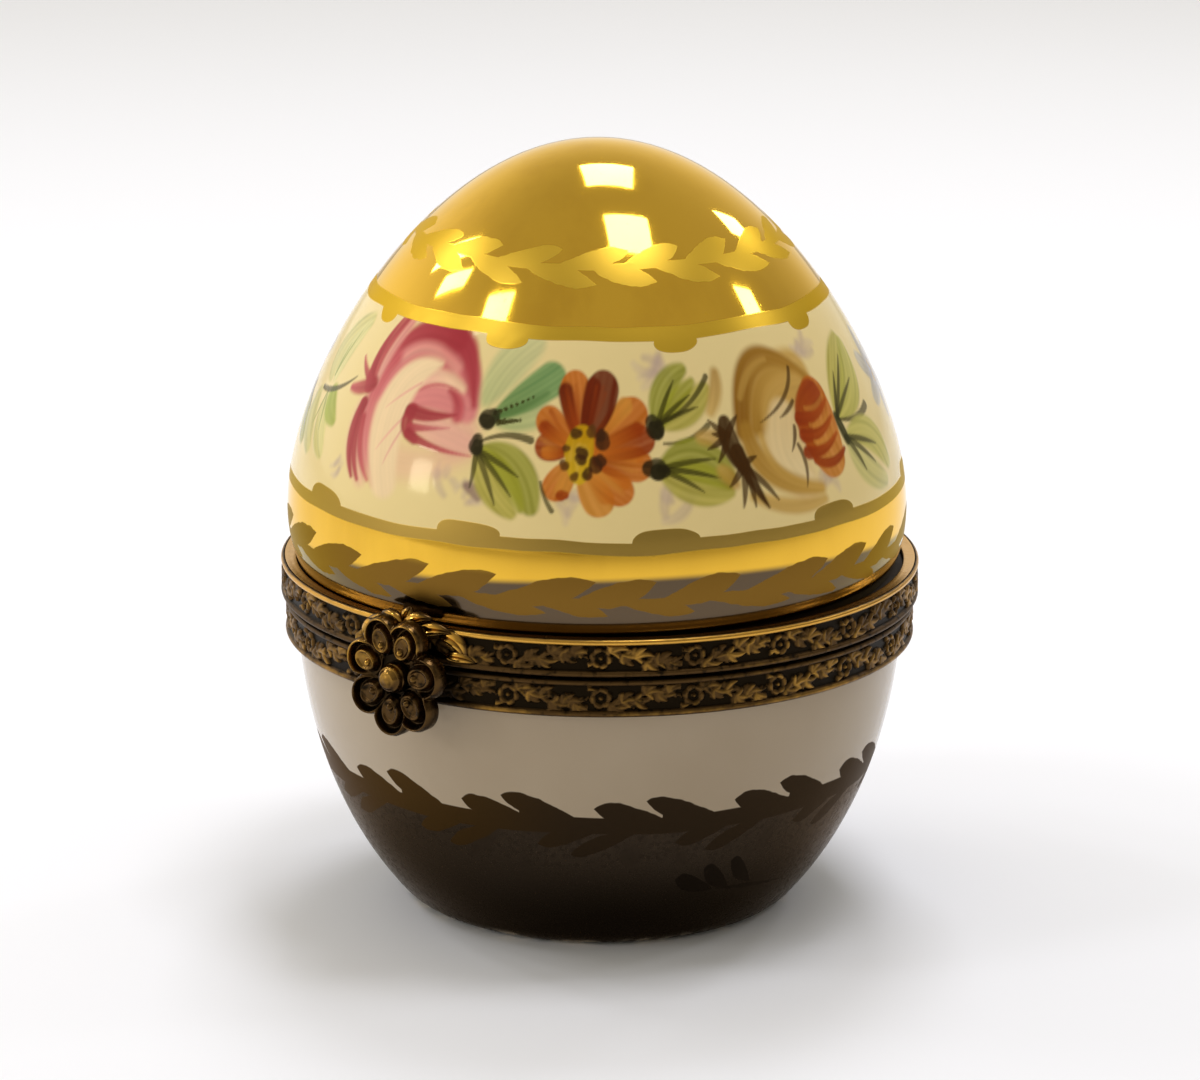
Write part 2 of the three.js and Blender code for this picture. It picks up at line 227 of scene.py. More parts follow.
def make_floor():
    mesh = bpy.data.meshes.new("floor")
    half = FLOOR_SIZE / 2
    corners = [(-half, -half, 0), (half, -half, 0), (half, half, 0), (-half, half, 0)]
    mesh.from_pydata(corners, [], [(0, 1, 2, 3)])
    floor = bpy.data.objects.new("floor", mesh)
    bpy.context.scene.collection.objects.link(floor)
    material, tree, shader = new_material("pale_floor")
    mottled = mixed(tree, noise(tree, FLOOR_MOTTLE), FLOOR_PALE, FLOOR_PALER)
    feed(tree, shader, Base_Color=mottled, Roughness=FLOOR_ROUGHNESS)
    mesh.materials.append(material)


make_floor()
print("floor side in m:", FLOOR_SIZE)

# %% [markdown]
# ## The room
# The room is a world colour that changes with the way one looks. Real walls would do as well, but a colour
# has no seams that the gold could mirror. The wall behind the egg is pale and lights the edges of the dome.
# The left wall is the brightest and gives the dome a light side. The camera's side, the right wall and the
# ceiling are a calmer grey, which keeps the gold deep in the middle.

# %% Room
FRONT_WALL = (0.31, 0.29, 0.26, 1.0)
BACK_WALL = (0.96, 0.93, 0.86, 1.0)
LEFT_WALL = (1.27, 1.21, 1.08, 1.0)
RIGHT_WALL = (0.33, 0.31, 0.28, 1.0)
CEILING = (0.47, 0.45, 0.40, 1.0)
# Where each blend starts and is full: 1 looks straight at the wall or ceiling, 0 looks past it sideways.
BACK_BLEND = (-0.7, 0.7)
SIDE_BLEND = (0.1, 1.0)
CEILING_BLEND = (0.1, 0.95)


def make_room():
    world = bpy.data.worlds.new("soft_room")
    bpy.context.scene.world = world
    world.use_nodes = True
    tree = world.node_tree
    towards = add_node(tree, "ShaderNodeTexCoord").outputs["Generated"]

    def wall_at(turn, blend):
        """Mask of the wall that stands at that turn from the clasp."""
        inputs = {0: towards, 1: tuple(direction(turn, 0))}
        facing = add_node(tree, "ShaderNodeVectorMath", inputs, operation="DOT_PRODUCT").outputs["Value"]
        return smooth_mask(tree, facing, *blend)

    wall = mixed(tree, wall_at(CAMERA_TURN + 180, BACK_BLEND), FRONT_WALL, BACK_WALL)
    wall = mixed(tree, wall_at(CAMERA_TURN - 90, SIDE_BLEND), wall, LEFT_WALL)
    wall = mixed(tree, wall_at(CAMERA_TURN + 90, SIDE_BLEND), wall, RIGHT_WALL)
    height = add_node(tree, "ShaderNodeSeparateXYZ", {0: towards}).outputs[2]
    colour = mixed(tree, smooth_mask(tree, height, *CEILING_BLEND), wall, CEILING)
    tree.links.new(colour, tree.nodes["Background"].inputs["Color"])


make_room()
print("brightest wall:", LEFT_WALL[:3], "dimmest wall:", FRONT_WALL[:3])

# %% [markdown]
# ## Egg curves
# Both shells are turned shapes whose outline is part of one egg curve. The same curve as in the solid
# model is sampled finely here, so that the glaze is smooth in close view.

# %% Egg curves
EGG_BREADTH = 56.3 * MM
LID_EGG = {"length": 47.3 * MM, "breadth": EGG_BREADTH, "skew": 9.65 * MM, "middle": 46.35 * MM}
BASE_EGG = {"length": 81 * MM, "breadth": EGG_BREADTH - 0.8 * MM, "skew": 3.6 * MM, "middle": 32.9 * MM}
WALL = 2.4 * MM


def egg_radius(egg, height):
    x = np.asarray(height, float) - egg["middle"]
    length, skew = egg["length"], egg["skew"]
    top = np.maximum(0.0, length**2 - 4 * x**2)
    return egg["breadth"] / 2 * np.sqrt(top / (length**2 + 8 * skew * x + 4 * skew**2))


def egg_heights(egg, low, high, count):
    """Heights from low to high, closer together towards the ends of the egg."""
    half = egg["length"] / 2
    ends = [math.asin(max(-1, min(1, (z - egg["middle"]) / half))) for z in (low, high)]
    return egg["middle"] + half * np.sin(np.linspace(*ends, count))


def inside_of(egg, heights):
    """Points one wall thickness in from the outside, as rows of radius and height."""
    step = 0.01 * MM
    rise = egg_radius(egg, heights + step) - egg_radius(egg, heights - step)
    length = np.hypot(rise, 2 * step)
    radius = egg_radius(egg, heights) - WALL * 2 * step / length
    return np.column_stack([radius, heights + WALL * rise / length])


def curve(start, bend, end, count):
    """Points of a quadratic curve from start to end, pulled towards bend."""
    t = np.linspace(0, 1, count)[:, None]
    start, bend, end = (np.array(p, float) for p in (start, bend, end))
    return (1 - t) ** 2 * start + 2 * t * (1 - t) * bend + t**2 * end


# %% [markdown]
# ## Turned meshes
# A turned piece is a grid: rows follow the outline and columns go round. Where all points of a row are the
# same, they become one, and triangles close the pole. A piece may be made of several grids. Brass pieces
# also carry how far each point stands out, in an attribute called relief.


# %% Turned meshes
def grid_faces(points, close_rows):
    """Faces between points[row, column]. Columns wrap round; rows wrap too if the section is closed."""
    rows, columns = points.shape[:2]
    index = np.arange(rows * columns).reshape(rows, columns)
    poles = np.ptp(points, axis=1).max(-1) < 1e-9
    index[poles] = index[poles][:, :1]
    following = np.roll(index, -1, 0) if close_rows else index[1:]
    current = index if close_rows else index[:-1]
    corners = [current, np.roll(current, -1, 1), np.roll(following, -1, 1), following]
    return np.stack(corners, -1).reshape(-1, 4)


def store_attribute(mesh, name, kind, values):
    layer = mesh.attributes.new(name, kind, "POINT")
    layer.data.foreach_set("color" if kind == "FLOAT_COLOR" else "value", values.astype(np.float32).ravel())


def mesh_object(name, points, quads):
    """Smooth mesh from flat points and four corners per face. Returns it with the points it uses."""
    used, renumbered = np.unique(quads, return_inverse=True)
    faces = [list(dict.fromkeys(q)) for q in renumbered.reshape(-1, 4).tolist()]
    mesh = bpy.data.meshes.new(name)
    mesh.from_pydata(points[used].tolist(), [], faces)
    mesh.shade_smooth()
    piece = bpy.data.objects.new(name, mesh)
    bpy.context.scene.collection.objects.link(piece)
    return piece, used


def grid_object(name, grids, close_rows=False, relief=None):
    """One mesh from a list of grids, with an optional list of relief values for the same points."""
    quads = []
    first = 0
    for points in grids:
        quads.append(grid_faces(points, close_rows) + first)
        first += points.shape[0] * points.shape[1]
    flat = np.concatenate([points.reshape(-1, 3) for points in grids])
    piece, used = mesh_object(name, flat, np.concatenate(quads))
    if relief is not None:
        values = np.concatenate([np.ravel(r) for r in relief])
        store_attribute(piece.data, "relief", "FLOAT", values[used])
    return piece


def turned(profile, columns):
    """Grid points of a profile of radius and height, turned round the upright axis."""
    turn = np.linspace(0, 2 * math.pi, columns, endpoint=False)
    radius = profile[:, :1]
    height = np.repeat(profile[:, 1:2], columns, 1)
    return np.stack([radius * np.sin(turn), -radius * np.cos(turn), height], -1)


def finish_piece(piece, body, material, slot, *replaced):
    """Ride on a body, take a material, and stand for the named solids."""
    piece.data.materials.append(material)
    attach(piece, body)
    if replaced:
        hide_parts(*replaced)
    print(piece.name, len(piece.data.polygons), "faces")


# %% [markdown]
# ## Porcelain shells
# Slip-cast porcelain has an even wall and soft edges. The lip of each shell steps in, so that it can sit
# in its rim. The dome was set a little to one side in its cement, which leaves a dark crescent at the right.

# %% Porcelain shells
SHELL_COLUMNS = 288
LID_SHIFT = 0.2 * MM * direction(CAMERA_TURN, 0) + 0.3 * MM * direction(CAMERA_TURN - 90, 0)
LIP_REBATE = 0.7 * MM
FLOOR_TOP = 3 * MM
FLOOR_FILLET = 5 * MM
FOOT_EDGE = 1.2 * MM
RIM_COVER = 0.6 * MM
POLE_GAP = 0.02 * MM
SHARP_EDGE = math.radians(50)

lid_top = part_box("lid_shell")[1].z
lid_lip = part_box("lid_shell")[0].z
lid_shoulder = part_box("lid_rim")[1].z - RIM_COVER
base_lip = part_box("base_shell")[1].z
base_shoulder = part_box("base_rim")[0].z + RIM_COVER


def outside_of(egg, heights):
    return np.column_stack([egg_radius(egg, heights), heights])


def lid_profile():
    inside = inside_of(LID_EGG, egg_heights(LID_EGG, lid_top - POLE_GAP, lid_shoulder, count=60))
    outside = outside_of(LID_EGG, egg_heights(LID_EGG, lid_shoulder, lid_top, count=110))
    lip_inner = inside[-1, 0]
    lip_outer = outside[0, 0] - LIP_REBATE
    lip = [[lip_inner, lid_lip], [lip_outer, lid_lip], [lip_outer, lid_shoulder]]
    outside[-1, 0] = 0
    return np.vstack([[[0, lid_top - WALL]], inside[1:], lip, outside])


def base_profile():
    edge = egg_radius(BASE_EGG, FOOT_EDGE)
    foot = egg_radius(BASE_EGG, 0)
    rounded = curve((foot - FOOT_EDGE, 0), (foot, 0), (edge, FOOT_EDGE), count=10)
    outside = outside_of(BASE_EGG, egg_heights(BASE_EGG, FOOT_EDGE, base_shoulder, count=70))
    inside = inside_of(BASE_EGG, egg_heights(BASE_EGG, base_shoulder, FLOOR_TOP + WALL / 2, count=40))
    slope = (inside[-2] - inside[-1])[0] / (inside[-2] - inside[-1])[1]
    corner = inside[-1, 0] - (inside[-1, 1] - FLOOR_TOP) * slope
    fillet = curve(inside[-1], (corner, FLOOR_TOP), (corner - FLOOR_FILLET, FLOOR_TOP), count=12)
    lip_outer = outside[-1, 0] - LIP_REBATE
    lip = [[lip_outer, base_shoulder], [lip_outer, base_lip], [inside[0, 0], base_lip]]
    return np.vstack([[[0, 0]], rounded, outside[1:], lip, inside[:-1], fillet, [[0, FLOOR_TOP]]])


lid_shell = grid_object("lid_porcelain", [turned(lid_profile(), SHELL_COLUMNS) + np.array(LID_SHIFT)])
base_shell = grid_object("base_porcelain", [turned(base_profile(), SHELL_COLUMNS)])
for shell in (lid_shell, base_shell):
    shell.data.set_sharp_from_angle(angle=SHARP_EDGE)
    print(shell.name, "has", len(shell.data.vertices), "points")

# %% [markdown]
# ## Soft boxes
# The photograph shows three columns of small bright lights on the gold of the dome and a faint one on the
# white band. A lamp that is wanted at a spot on the dome stands where the view, mirrored at that spot,
# looks to.

# %% Soft boxes
LAMP_DISTANCE = 0.62
LAMP_RADIANCE = 10.5
LAMP_COLOUR = (0.97, 1.0, 1.14)
# Each highlight by its turn from the camera and its height, then how far it spreads in both.
HIGHLIGHTS = {
    "front_upper": (6, 68.4, 36, 1.3),
    "front_lower": (11, 64.4, 16, 2.7),
    "left_upper": (-50, 62.0, 11, 1.7),
    "left_middle": (-44, 59.9, 8, 1.5),
    "left_lower": (-27, 58.4, 7, 2.4),
    "right_upper": (57, 63.9, 8, 2.0),
    "right_lower": (43, 58.4, 5, 2.4),
    "left_front": (-34.8, 44.6, 4.5, 2.6),
}


def dome_spot(turn, height):
    """Point on the dome and the way it faces."""
    radius = float(egg_radius(LID_EGG, height))
    step = 0.05 * MM
    slope = float(egg_radius(LID_EGG, height + step) - egg_radius(LID_EGG, height - step)) / (2 * step)
    out = direction(turn, 0)
    return out * radius + Vector((0, 0, height)), (out - Vector((0, 0, slope))).normalized()


def mirrored(turn, height):
    """Where the view looks to when the dome mirrors it at that spot."""
    spot, facing = dome_spot(turn + CAMERA_TURN, height * MM)
    view = (camera.location - spot).normalized()
    return spot + (2 * facing.dot(view) * facing - view) * LAMP_DISTANCE


def make_lamp(name, turn, height, spread, tall):
    middle = mirrored(turn, height)
    upright = mirrored(turn, height + tall / 2) - mirrored(turn, height - tall / 2)
    sideways = mirrored(turn + spread / 2, height) - mirrored(turn - spread / 2, height)
    away = (middle - dome_spot(turn + CAMERA_TURN, height * MM)[0]).normalized()
    y_axis = (upright - upright.dot(away) * away).normalized()
    x_axis = y_axis.cross(away)
    light = bpy.data.lights.new(name, "AREA")
    light.shape = "RECTANGLE"
    light.size = abs(sideways.dot(x_axis))
    light.size_y = upright.length
    light.color = LAMP_COLOUR
    light.energy = LAMP_RADIANCE * light.size * light.size_y * math.pi
    lamp = bpy.data.objects.new(name, light)
    bpy.context.scene.collection.objects.link(lamp)
    lamp.location = middle
    lamp.rotation_mode = "QUATERNION"
    lamp.rotation_quaternion = Matrix((x_axis, y_axis, away)).transposed().to_quaternion()
    size = [round(light.size, 2), round(light.size_y, 2)]
    print(name, "stands at", [round(v, 2) for v in middle], "and measures", size)


for name, place in HIGHLIGHTS.items():
    make_lamp(name, *place)

# %% [markdown]
# ## Where am I on the egg?
# Gilding is brushed on while the egg turns on a wheel, so each line and leaf has a height and a place round
# the egg. This node group works both out from the piece's own coordinates. Turn runs from 0 to 1 and starts
# at the clasp. Height is in millimetres.


# %% Egg place group
def make_egg_place():
    group, _, result = new_group("egg_place", {}, ["Turn", "Height"])
    place = add_node(group, "ShaderNodeTexCoord").outputs["Object"]
    x, y, z = add_node(group, "ShaderNodeSeparateXYZ", {0: place}).outputs
    angle = calc(group, "ARCTAN2", x, times(group, y, -1.0))
    turn = calc(group, "FRACT", calc(group, "MULTIPLY_ADD", angle, 0.5 / math.pi, 1.0))
    feed(group, result, Turn=turn, Height=calc(group, "DIVIDE", z, MM))
    return group


egg_place = make_egg_place()
print("egg_place has", len(egg_place.nodes), "nodes")

# %% [markdown]
# ## Leaf garlands
# Every garland on this egg is a row of brush leaves: the brush touches the stem, swells and lifts off at the
# tip. One group draws such a row. Along the row each leaf has a number, which gives it its own length and
# rise, so that the row looks painted and not printed. A leaf may reach over its neighbour, so each place asks
# for the leaf that starts here and for the one before it.

# %% Leaf row group
LEAF_SOCKETS = {"Turn": 0, "Up": 0, "Count": 18, "Start": 0, "Pitch": 6, "Length": 5, "Rise": 2, "Width": 2}
LEAF_SOCKETS |= {"Curl": 1, "Vary": 0.3, "Tip": 3, "Fill": 0}
EDGE_GRAIN = 900.0
EDGE_WAVER = 0.3
EDGE_SOFT = 0.12
FOOT_SWELL = 0.7
LEAF_FULLNESS = 0.75


def shortened(group, luck, vary):
    """Share that is left when luck takes up to the vary share away."""
    return calc(group, "SUBTRACT", 1.0, times(group, luck, vary))


def leaf_masks(group, at, along, up, before):
    """Blade of one leaf, and the gold that fills the corner between blade and stem."""
    number = calc(group, "SUBTRACT", calc(group, "FLOOR", along), float(before))
    inputs = {"W": calc(group, "MODULO", calc(group, "ADD", number, at["Count"]), at["Count"])}
    luck = add_node(group, "ShaderNodeTexWhiteNoise", inputs, noise_dimensions="1D").outputs[1]
    luck_length, luck_rise, _ = add_node(group, "ShaderNodeSeparateColor", {0: luck}).outputs

    ahead = times(group, calc(group, "SUBTRACT", along, number), at["Pitch"])
    length = times(group, at["Length"], shortened(group, luck_length, at["Vary"]))
    share = calc(group, "DIVIDE", ahead, length)
    inside = calc(group, "ADD", share, 0.0, clamp=True)
    lean = shortened(group, luck_rise, at["Vary"])
    middle = times(group, calc(group, "POWER", inside, at["Curl"]), at["Rise"], lean)
    swell = calc(group, "SUBTRACT", 1.0, calc(group, "POWER", inside, at["Tip"]))
    swell = times(group, calc(group, "POWER", inside, FOOT_SWELL), swell)
    half = times(group, swell, LEAF_FULLNESS, at["Width"])
    off = calc(group, "ABSOLUTE", calc(group, "SUBTRACT", up, middle))
    blade = smooth_mask(group, calc(group, "SUBTRACT", half, off), 0.0, EDGE_SOFT)

    side = calc(group, "SIGN", at["Rise"])
    below = times(group, calc(group, "SUBTRACT", middle, up), side)
    filled = smooth_mask(group, below, 0.0, EDGE_SOFT)
    early = calc(group, "LESS_THAN", share, at["Fill"])
    past_stem = smooth_mask(group, times(group, up, side), -0.5, -0.4)
    return blade, times(group, filled, early, past_stem)


def make_leaf_row():
    group, at, result = new_group("leaf_row", LEAF_SOCKETS, ["Mask"])
    along = calc(group, "MULTIPLY_ADD", at["Turn"], at["Count"], at["Start"])
    waver = calc(group, "MULTIPLY_ADD", noise(group, EDGE_GRAIN, 1.0), EDGE_WAVER, -EDGE_WAVER / 2)
    up = calc(group, "ADD", at["Up"], waver)
    masks = leaf_masks(group, at, along, up, 0) + leaf_masks(group, at, along, up, 1)
    feed(group, result, Mask=any_of(group, *masks))
    return group


leaf_row = make_leaf_row()
print("leaf_row has", len(leaf_row.nodes), "nodes")

# %% [markdown]
# ## Lobes of the trim lines
# Small rounded lobes grow out of the two trim lines, each a dab of the brush that touches the line. There is
# one in each repeat, and it may be longer on one side. A second group draws them, from the distance to the
# middle of the repeat and from the line.

# %% Trim lobe group
LOBE_SOCKETS = {"Turn": 0, "Up": 0, "Count": 10, "Start": 0, "Depth": 1.2, "Left": 0.1, "Right": 0.1}
LOBE_SOCKETS |= {"Round": 3}


def make_trim_lobes():
    """Rounded lobes that grow out of the edge of a trim line, one in each repeat."""
    group, at, result = new_group("trim_lobes", LOBE_SOCKETS, ["Mask"])
    along = calc(group, "MULTIPLY_ADD", at["Turn"], at["Count"], at["Start"])
    wobble = calc(group, "MULTIPLY_ADD", noise(group, scale=260.0, detail=1.0), 0.12, -0.06)
    aside = calc(group, "ADD", calc(group, "SUBTRACT", calc(group, "FRACT", along), 0.5), wobble)
    leftwards = calc(group, "DIVIDE", aside, times(group, at["Left"], -1.0))
    share = any_of(group, leftwards, calc(group, "DIVIDE", aside, at["Right"]))
    swell = calc(group, "SUBTRACT", 1.0, calc(group, "POWER", share, at["Round"]), clamp=True)
    reach = times(group, calc(group, "SQRT", swell), at["Depth"])
    feed(group, result, Mask=smooth_mask(group, calc(group, "SUBTRACT", reach, at["Up"]), -0.05, 0.07))
    return group


trim_lobes = make_trim_lobes()
print("trim_lobes has", len(trim_lobes.nodes), "nodes")

# %% [markdown]
# ## Gilding and glaze
# Liquid gold fires bright and can be burnished to a mirror. Gold over a matt ground stays satin, and that is
# how the leaves show on the mirror. Both are metal on porcelain, so one mask drives metallic, colour and
# roughness together. These are the colours of the glazes and of the gold, and how much they shine.

# %% Glaze and gilding values
IVORY = linear("#ead292")
IVORY_WARM = linear("#e2c884")
INSIDE_WHITE = linear("#f0eadd")
INSIDE_WARM = linear("#ebe2d0")
INSIDE_SPECK = linear("#b5a68c")
# Painted shade: the base's white porcelain is painted darker and greyer than the lid's.
SHADED_BASE_IVORY = linear("#ac9c84")
SHADED_BASE_IVORY_WARM = linear("#a4937a")
BURNISHED_GOLD = (0.86, 0.50, 0.030, 1.0)
BURNISHED_DEEP = (0.75, 0.42, 0.022, 1.0)
SATIN_GOLD = (0.61, 0.38, 0.037, 1.0)
TRIM_GOLD = (0.64, 0.40, 0.036, 1.0)
TRIM_OLIVE = (0.40, 0.26, 0.055, 1.0)
# Painted dark reflection on the lower satin gold of the lid.
SATIN_DARK_REFLECTION = (0.20, 0.106, 0.018, 1.0)
# Painted dark reflection on the lowest mirror gold of the lid.
LID_DARK_REFLECTION = (0.095, 0.060, 0.027, 1.0)
# Painted dark reflection on the base's gold, and painted shade that deepens towards the foot.
BASE_DARK_REFLECTION = (0.044, 0.031, 0.020, 1.0)
BASE_DEEP_SHADE = (0.013, 0.009, 0.006, 1.0)
# The base garland's gold, painted lit on one side of the clasp and shaded on the other.
LIT_BASE_LEAF = (0.056, 0.029, 0.007, 1.0)
SHADED_BASE_LEAF = (0.028, 0.0175, 0.009, 1.0)
GLAZE_ROUGH = 0.09
GLAZE_SHINE = 0.3
BASE_SHINE = 0.42
BASE_EDGE = (0.72, 0.65, 0.59, 1.0)
GOLD_COAT = 0.55
GOLD_EDGE = (1.0, 0.87, 0.48, 1.0)

# %% [markdown]
# ## Handling marks
# A polished face never stays clean: cloths leave fine wipes, and dust settles. The same marks lie on the lid
# and on the base, so they are a group. Noise that is drawn out along one axis gives the wipes, and a soft
# cloud keeps them in patches.


# %% Handling marks group
def make_handling_marks():
    """Fine wipes and dust on polished faces, as masks from 0 to 1."""
    group, given, result = new_group("handling_marks", {"Scale": 400.0, "Stretch": 6.0}, ["Marks", "Specks"])
    place = add_node(group, "ShaderNodeTexCoord").outputs["Object"]
    squeeze = add_node(group, "ShaderNodeCombineXYZ", {0: 1.0, 1: 1.0, 2: given["Stretch"]}).outputs[0]
    inputs = {0: place, 1: squeeze}
    stretched = add_node(group, "ShaderNodeVectorMath", inputs, operation="MULTIPLY").outputs[0]
    fine = noise(group, given["Scale"], detail=4.0, vector=stretched)
    cloud = smooth_mask(group, noise(group, scale=55.0, detail=2.0, vector=place), 0.3, 0.7)
    dust = smooth_mask(group, noise(group, scale=1300.0, detail=1.0, vector=place), 0.70, 0.78)
    wiped = smooth_mask(group, fine, 0.35, 0.75)
    feed(group, result, Marks=times(group, wiped, cloud), Specks=times(group, dust, cloud))
    return group


handling_marks = make_handling_marks()
print("handling_marks has", len(handling_marks.nodes), "nodes")

# %% [markdown]
# ## Glaze and lines
# White glaze is never one flat colour, so it gets faint warm clouds. The gilder's lines are masks over the
# height. A little noise is added to the height first, and then they waver as if drawn by hand.

# %% Glaze and line helpers
# How far a line that is drawn by hand wanders, and how soft its edge is, in mm.
HAND_WOBBLE = 0.7
LINE_SOFT = 0.08


def ivory_glaze(tree, clean=IVORY, warm=IVORY_WARM):
    """Colour of the white porcelain, with faint warm clouds."""
    cloud = smooth_mask(tree, noise(tree, scale=40.0, detail=3.0), 0.35, 0.7)
    return mixed(tree, cloud, clean, warm)


def fine_bump(tree, height, strength, depth):
    inputs = {"Strength": strength, "Distance": depth, "Height": height}
    return add_node(tree, "ShaderNodeBump", inputs).outputs[0]


def by_hand(tree, height, scale):
    """Height that wanders a little, so that lines look drawn by hand."""
    wobble = calc(tree, "MULTIPLY_ADD", noise(tree, scale, 1.0), HAND_WOBBLE, -HAND_WOBBLE / 2)
    return calc(tree, "ADD", height, wobble)


def over(tree, height, line):
    """Mask of all that lies over a line."""
    return smooth_mask(tree, height, line - LINE_SOFT, line + LINE_SOFT)


def under(tree, height, line, soft=LINE_SOFT):
    """Mask of all that lies under a line."""
    return smooth_mask(tree, height, line + soft, line - soft)


def between_heights(tree, height, low, high):
    return times(tree, over(tree, height, low), under(tree, height, high))


# %% [markdown]
# ## The lid's gilding
# From the crown down: mirror gold with a satin garland, a satin trim with small hanging lobes, the white
# band for the flowers, a second trim, then mirror gold again with a larger garland just above the rim. The
# heights are read from the photograph. A painted picture could hold all this, but masks stay sharp in close
# view.

# %% Lid gilding
CAP_GARLAND = 62.0
UPPER_TRIM = (56.4, 57.5)
LOWER_TRIM = (39.3, 40.4)
LID_GARLAND = 35.1
CAP_STEM = 0.25
LID_STEM = 0.3
CAP_LEAVES = dict(Count=18.0, Pitch=6.1, Length=7.4, Width=1.9, Curl=1.1, Vary=0.15)
LID_LEAVES = dict(Count=24.0, Pitch=7.2, Length=9.6, Width=2.9, Curl=1.5)
LOW_LEAVES = dict(Count=24.0, Pitch=7.2, Length=9.0, Width=2.0, Curl=1.4)
DROPS = dict(Count=9.0, Start=0.195, Depth=0.95, Left=0.115, Right=0.115, Round=2.6)
WAVES = dict(Count=10.0, Start=0.26, Depth=1.05, Left=0.1, Right=0.22, Round=2.4)


def lid_leaves(tree, turn, height):
    """Mask of both garlands with their stems."""

    def row(middle, **shape):
        up = calc(tree, "SUBTRACT", height, middle)
        return grouped(tree, leaf_row, Turn=turn, Up=up, **shape)["Mask"]

    return any_of(
        tree,
        row(CAP_GARLAND, Rise=1.3, **CAP_LEAVES),
        row(CAP_GARLAND, Rise=-1.4, Start=0.5, **CAP_LEAVES),
        row(LID_GARLAND, Rise=2.2, **LID_LEAVES),
        row(LID_GARLAND, Rise=-1.5, Start=0.5, **LOW_LEAVES),
        between_heights(tree, height, CAP_GARLAND - CAP_STEM, CAP_GARLAND + CAP_STEM),
        between_heights(tree, height, LID_GARLAND - LID_STEM, LID_GARLAND + LID_STEM),
    )


def lid_trims(tree, turn, height):
    """Masks of the upper trim with hanging lobes and of the lower trim with standing lobes."""
    hanging = calc(tree, "SUBTRACT", UPPER_TRIM[0], height)
    standing = calc(tree, "SUBTRACT", height, LOWER_TRIM[1])
    upper = grouped(tree, trim_lobes, Turn=turn, Up=hanging, **DROPS)["Mask"]
    lower = grouped(tree, trim_lobes, Turn=turn, Up=standing, **WAVES)["Mask"]
    upper = times(tree, upper, under(tree, height, UPPER_TRIM[1]))
    lower = times(tree, lower, over(tree, height, LOWER_TRIM[0]))
    return upper, lower


# %% [markdown]
# ## The lid's finish
# The masks now choose between porcelain, mirror gold and satin gold. The lowest gold is painted dark, as a
# painted reflection of dark surroundings, and the edge of that painted reflection swings up and down round
# the egg. Above it the satin gold is painted darker towards the bottom, also as painted dark reflection.
# Satin gold has a fine grain, and a clear coat over the mirror gold gives it the depth of a burnish.

# %% Lid finish
WHITE_INSET = 0.5
# Painted dark reflection on the lowest gold: heights where it starts and is full, how far its edge swings
# up and down, and where in the turn.
DARK_REFLECTION_EDGE = (36.6, 35.9)
DARK_REFLECTION_SWING = 0.9
DARK_REFLECTION_PHASE = -0.18
# Painted dark reflection on the satin gold: heights where it starts to darken and is dark.
SATIN_REFLECTION_EDGE = (38.6, 37.0)
MIRROR_ROUGH = (0.05, 0.13)
DARK_REFLECTION_ROUGH = 0.16
SATIN_ROUGH = 0.36
COAT_ROUGH = 0.04


def make_lid_finish():
    material, tree, shader = new_material("gilded_glaze")
    turn, height = grouped(tree, egg_place)
    hand_height = by_hand(tree, height, scale=110.0)
    upper, lower = lid_trims(tree, turn, hand_height)
    satin = any_of(tree, lid_leaves(tree, turn, hand_height), upper, lower)
    white = between_heights(tree, hand_height, LOWER_TRIM[0] + WHITE_INSET, UPPER_TRIM[1] - WHITE_INSET)
    gold = calc(tree, "SUBTRACT", calc(tree, "ADD", satin, 1.0), white, clamp=True)

    marks, specks = grouped(tree, handling_marks, Scale=260.0, Stretch=0.35)
    swing = calc(tree, "SINE", calc(tree, "MULTIPLY_ADD", turn, 4 * math.pi, DARK_REFLECTION_PHASE))
    # Painted dark reflection: a dark band on the lowest gold, whose edge swings up and down round the egg.
    painted_dark_reflection = smooth_mask(tree, calc(tree, "MULTIPLY_ADD", swing, -DARK_REFLECTION_SWING, height), *DARK_REFLECTION_EDGE)
    mirror = mixed(tree, marks, BURNISHED_GOLD, BURNISHED_DEEP)
    mirror = mixed(tree, painted_dark_reflection, mirror, LID_DARK_REFLECTION)
    brushed = mixed(tree, smooth_mask(tree, height, *SATIN_REFLECTION_EDGE), SATIN_GOLD, SATIN_DARK_REFLECTION)
    brushed = mixed(tree, lower, brushed, TRIM_OLIVE)
    brushed = mixed(tree, upper, brushed, TRIM_GOLD)
    metal = mixed(tree, satin, mirror, brushed)
    paint = add_node(tree, "ShaderNodeAttribute", attribute_name="enamel").outputs["Color"]
    painted = add_node(tree, "ShaderNodeAttribute", attribute_name="painted").outputs["Fac"]
    porcelain = mixed(tree, painted, ivory_glaze(tree), paint)
    feed(tree, shader, Base_Color=mixed(tree, gold, porcelain, metal), Metallic=gold)

    polish = between(tree, any_of(tree, marks, specks), *MIRROR_ROUGH)
    polish = between(tree, painted_dark_reflection, polish, DARK_REFLECTION_ROUGH)
    rough = between(tree, satin, polish, SATIN_ROUGH)
    grain = times(tree, noise(tree, scale=2600.0, detail=2.0), satin)
    ripples = calc(tree, "MULTIPLY_ADD", noise(tree, scale=210.0, detail=1.0), 0.35, specks)
    uneven = calc(tree, "ADD", grain, ripples)
    normal = fine_bump(tree, uneven, strength=0.12, depth=0.02 * MM)
    feed(tree, shader, Roughness=between(tree, gold, GLAZE_ROUGH, rough), Normal=normal)
    polished = calc(tree, "SUBTRACT", gold, satin, clamp=True)
    feed(tree, shader, Coat_Weight=times(tree, polished, GOLD_COAT), Coat_Roughness=COAT_ROUGH)
    feed(tree, shader, Specular_IOR_Level=GLAZE_SHINE, Specular_Tint=GOLD_EDGE)
    return material


